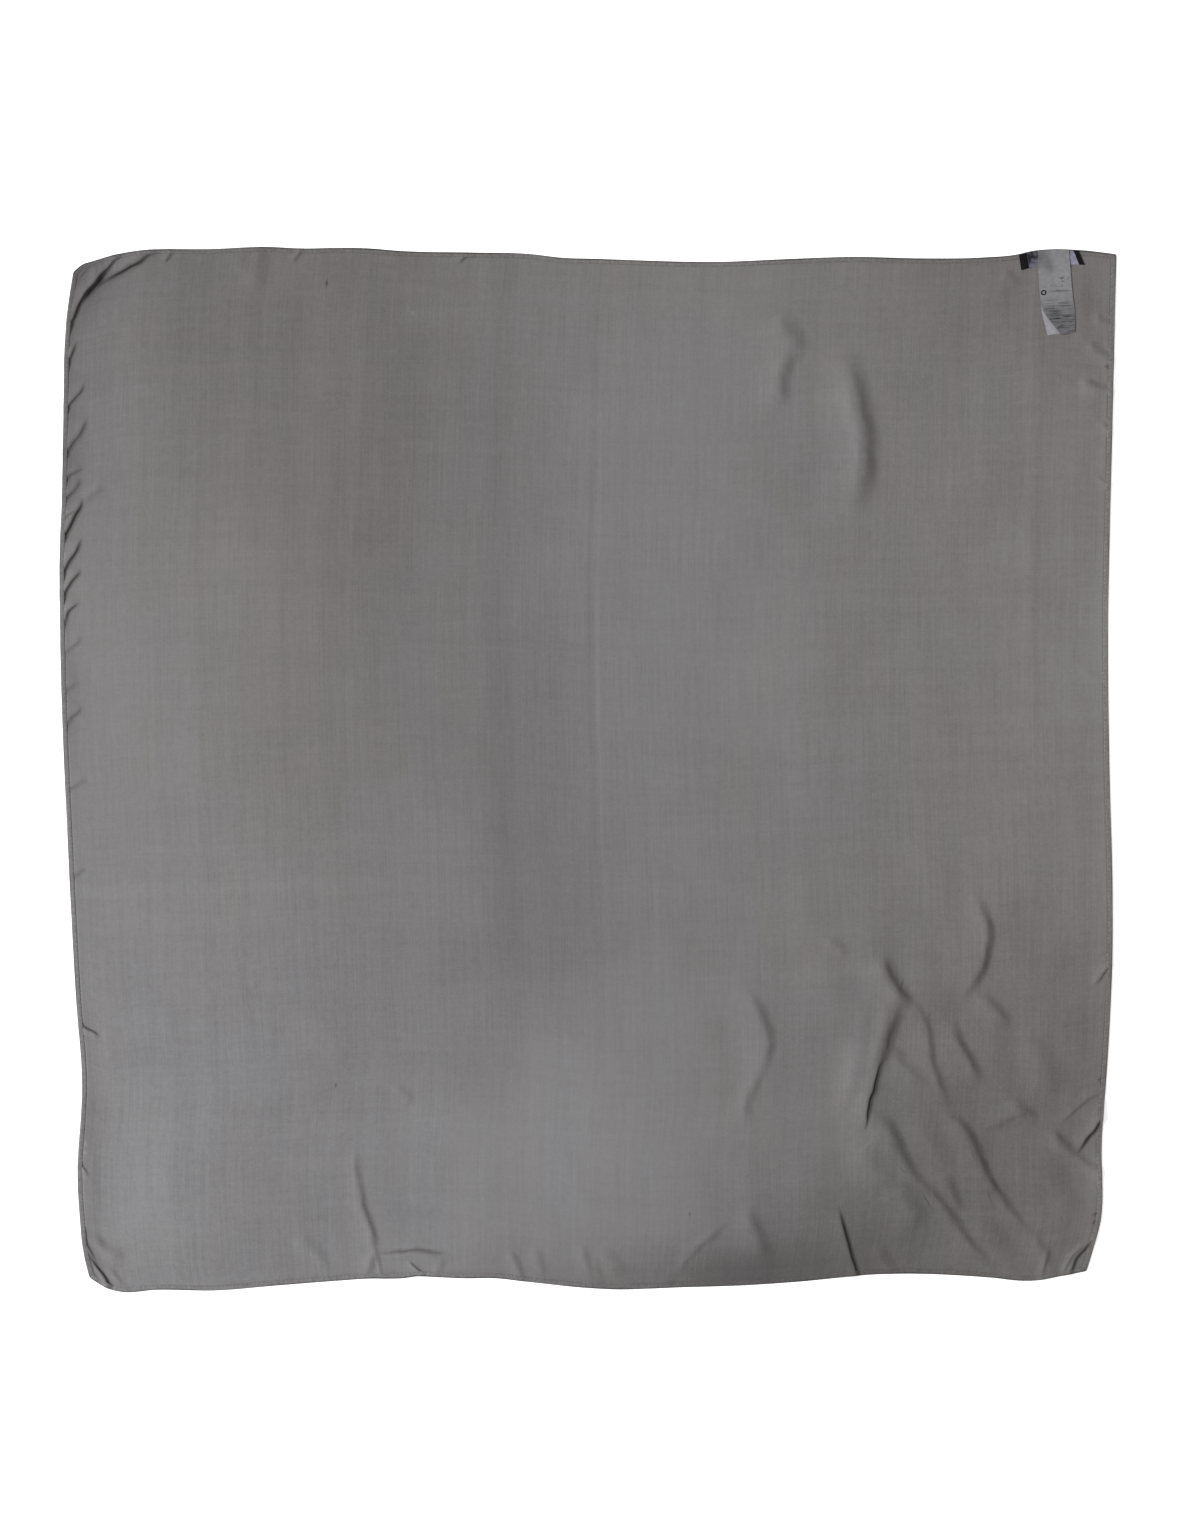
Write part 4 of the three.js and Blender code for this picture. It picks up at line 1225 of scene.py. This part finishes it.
cloth_finish = taupe_finish("taupe_cloth", pinch_shading)
cloth.data.materials.append(cloth_finish)
print("cloth finish:", len(cloth_finish.node_tree.nodes), "nodes")


# %% The hem's and the thread's finish
def turned_and_shaded(tree, place):
    """A little less than 1, lower at the outer turn by the band's painted shade, partly its three
    layers there, and mottled. On the right edge that painted shade is below 0, a painted light.
    """
    shade = add_node(tree, "ShaderNodeAttribute", attribute_name="painted_turn_shade").outputs["Fac"]
    at_turn = calc(tree, "MULTIPLY_ADD", shade, -0.6, 0.96)
    return calc(tree, "ADD", stripes(tree, place, 0.003, 0.003, 0.35), at_turn)


hem_finish = taupe_finish("taupe_hem", turned_and_shaded)
thread_finish, tree, shader = new_finish("taupe_thread", roughness=0.7)
place = add_node(tree, "ShaderNodeTexCoord").outputs["Object"]
# The thread is darker than the cloth: partly its own colour, partly painted shade in the stitch holes.
uneven = calc(tree, "ADD", stripes(tree, place, 0.003, 0.003, 0.3), 0.62)
colour = ramp_colour(tree, calc(tree, "MULTIPLY", uneven, 0.5), TONE_STOPS)
tree.links.new(colour, shader.inputs["Base Color"])
for side in SIDE_SHARES:
    hems[side].data.materials.append(hem_finish)
    stitches[side].data.materials.append(thread_finish)
print("hem and thread finishes on", len(hems), "sides")


# %% The labels' finishes
RIB_STRENGTH = 0.6
# Where the ragged marks of the front leaf stand: centre and reach as shares, and tone
MARK_ROWS = [
    ((0.78, 0.66), (0.3, 0.03), -0.9),
    ((0.66, 0.62), (0.25, 0.02), -0.7),
    ((0.45, 0.565), (0.45, 0.02), -0.7),
]


def tape_finish(name, colour, roughness, ribs, rib_depth, tone=None):
    """Label tape: a colour times a tone, with fine ribs. The tone is worked out by the given
    function from the shares of the leaf, and from the place for a little unevenness."""
    finish, tree, shader = new_finish(name, roughness, gloss=0.1)
    place = add_node(tree, "ShaderNodeTexCoord").outputs["Object"]
    leaf = add_node(tree, "ShaderNodeUVMap", uv_map="leaf").outputs["UV"]
    uneven = calc(tree, "ADD", stripes(tree, place, 0.004, 0.003, 0.3), 1.0)
    if tone:
        uneven = calc(tree, "MULTIPLY", uneven, tone(tree, leaf))
    tinted = add_node(tree, "ShaderNodeVectorMath", {0: colour, "Scale": uneven}, operation="SCALE")
    tree.links.new(tinted.outputs[0], shader.inputs["Base Color"])
    tree.links.new(weave_bump(tree, place, ribs, RIB_STRENGTH, rib_depth), shader.inputs["Normal"])
    return finish


def lilac_tone(tree, leaf):
    """Mottled, and darker towards the left end and along the top."""
    mottle = stripes(tree, leaf, 0.07, 0.25, 0.7)
    left = soft_patch(tree, leaf, (0.1, 0.75), (0.5, 1.4), -0.85)
    top = soft_patch(tree, leaf, (0.85, 1.0), (0.3, 0.45), -0.35)
    return calc(tree, "ADD", total(tree, [mottle, left, top]), 1.0)


def printed_tone(tree, leaf):
    """The front leaf: one thin line and a small plain ring at the middle, a few ragged marks
    above them and blurred ruled lines below, where the leaf is darker altogether. Painted shade lies
    over the fold above the curl and in a dent, the top left corner is darker, and a painted shine
    lies on the upper right."""
    up = add_node(tree, "ShaderNodeSeparateXYZ", {"Vector": leaf}).outputs["Y"]
    lines = step_between(tree, stripes(tree, leaf, 0.5, 0.012, 1.0, detail=2.0), -0.06, 0.2)
    lower = step_between(tree, calc(tree, "ADD", up, stripes(tree, leaf, 0.2, 0.06, 0.2)), 0.46, 0.30)
    marks = step_between(tree, stripes(tree, leaf, 0.11, 0.016, 1.0), -0.02, 0.12)
    inked = total(tree, [soft_patch(tree, leaf, *row) for row in MARK_ROWS])
    ragged = calc(tree, "MULTIPLY", marks, inked)
    ruled = calc(tree, "MULTIPLY", calc(tree, "MULTIPLY", lines, lower), -0.44)
    thin = soft_patch(tree, leaf, (0.62, 0.505), (0.5, 0.02), -0.5)
    ring = calc(tree, "MULTIPLY", ring_mark(tree, leaf, (0.12, 0.5), (0.1, 0.036)), -0.9)
    low = calc(tree, "MULTIPLY", step_between(tree, up, 0.5, 0.12), -0.32)
    # Painted shade over the fold above the curl and in a dent, a darker top left corner, and a painted
    # shine.
    fold = soft_patch(tree, leaf, (0.3, 0.24), (0.35, 0.12), -0.25)
    dent_shade = soft_patch(tree, leaf, (0.36, 0.8), (0.25, 0.16), -0.3)
    top = soft_patch(tree, leaf, (0.08, 0.93), (0.45, 0.2), -0.4)
    painted_shine = soft_patch(tree, leaf, (0.7, 0.7), (0.5, 0.25), 0.1)
    return calc(tree, "ADD", total(tree, [ragged, ruled, thin, ring, low, fold, dent_shade, top, painted_shine]), 1.0)


black_finish = tape_finish("black_tape", (0.006, 0.006, 0.0068), 0.8, 0.0005, 0.0001)
lilac_finish = tape_finish("lilac_tape", (0.222, 0.216, 0.276), 0.6, 0.0005, 0.0001, lilac_tone)
back_finish = tape_finish("satin_back", (0.272, 0.266, 0.287), 0.45, 0.0003, 0.00004)
front_finish = tape_finish("satin_front", (0.197, 0.193, 0.202), 0.45, 0.0003, 0.00004, printed_tone)
woven_end_left.data.materials.append(black_finish)
woven_end_right.data.materials.append(black_finish)
woven_field.data.materials.append(lilac_finish)
care_back.data.materials.append(back_finish)
care_front.data.materials.append(front_finish)
print("label finishes done")

# %% [markdown]
# ## The sheets
# The cloth and the label leaves are sheets, each cut to a flat size before it was laid or sewn.

# %% [markdown]
# ## Floor and light
#
# A pale floor fills the view. A large soft light stands far out on the left, low enough to pick
# out the folds, and an even sky fills the shadows. The floor glows a little, as a light table
# does, so it comes out white right up to the cloth.

# %% Floor and light
FLOOR_HALF = 4.0
FLOOR_DROP = 0.0002
FLOOR_GLOW = 0.5
SKY_STRENGTH = 0.46
SKY_COLOUR = (1.035, 1.0, 0.965)  # a little warm, so the shaded flanks are warm too
KEY_COLOUR = (0.965, 1.0, 1.035)  # a little cool
KEY_PLACE = Vector((-5.2, 0.4, 3.0))
KEY_SIZE = 2.2
KEY_POWER = 600.0

floor_points = [(-1, -1), (1, -1), (1, 1), (-1, 1)]
floor_mesh = bpy.data.meshes.new("floor")
floor_corners = [(x * FLOOR_HALF, y * FLOOR_HALF, -FLOOR_DROP) for x, y in floor_points]
floor_mesh.from_pydata(floor_corners, [], [(0, 1, 2, 3)])
floor = bpy.data.objects.new("floor", floor_mesh)
bpy.context.scene.collection.objects.link(floor)
floor_finish, tree, shader = new_finish("pale_floor", roughness=0.9)
shader.inputs["Base Color"].default_value = (0.9, 0.9, 0.9, 1)
shader.inputs["Emission Color"].default_value = (1, 1, 1, 1)
shader.inputs["Emission Strength"].default_value = FLOOR_GLOW
floor.data.materials.append(floor_finish)

sky = bpy.data.worlds.new("sky")
sky.use_nodes = True
sky.node_tree.nodes["Background"].inputs["Color"].default_value = (*SKY_COLOUR, 1)
sky.node_tree.nodes["Background"].inputs["Strength"].default_value = SKY_STRENGTH
bpy.context.scene.world = sky

key_data = bpy.data.lights.new("key", "AREA")
key_data.shape = "SQUARE"
key_data.size = KEY_SIZE
key_data.energy = KEY_POWER
key_data.color = KEY_COLOUR
key = bpy.data.objects.new("key", key_data)
key.location = KEY_PLACE
key.rotation_mode = "QUATERNION"
key.rotation_quaternion = (-KEY_PLACE).to_track_quat("-Z", "Y")
bpy.context.scene.collection.objects.link(key)
bpy.context.scene.view_settings.view_transform = "Standard"
print("floor, sky and one key light")
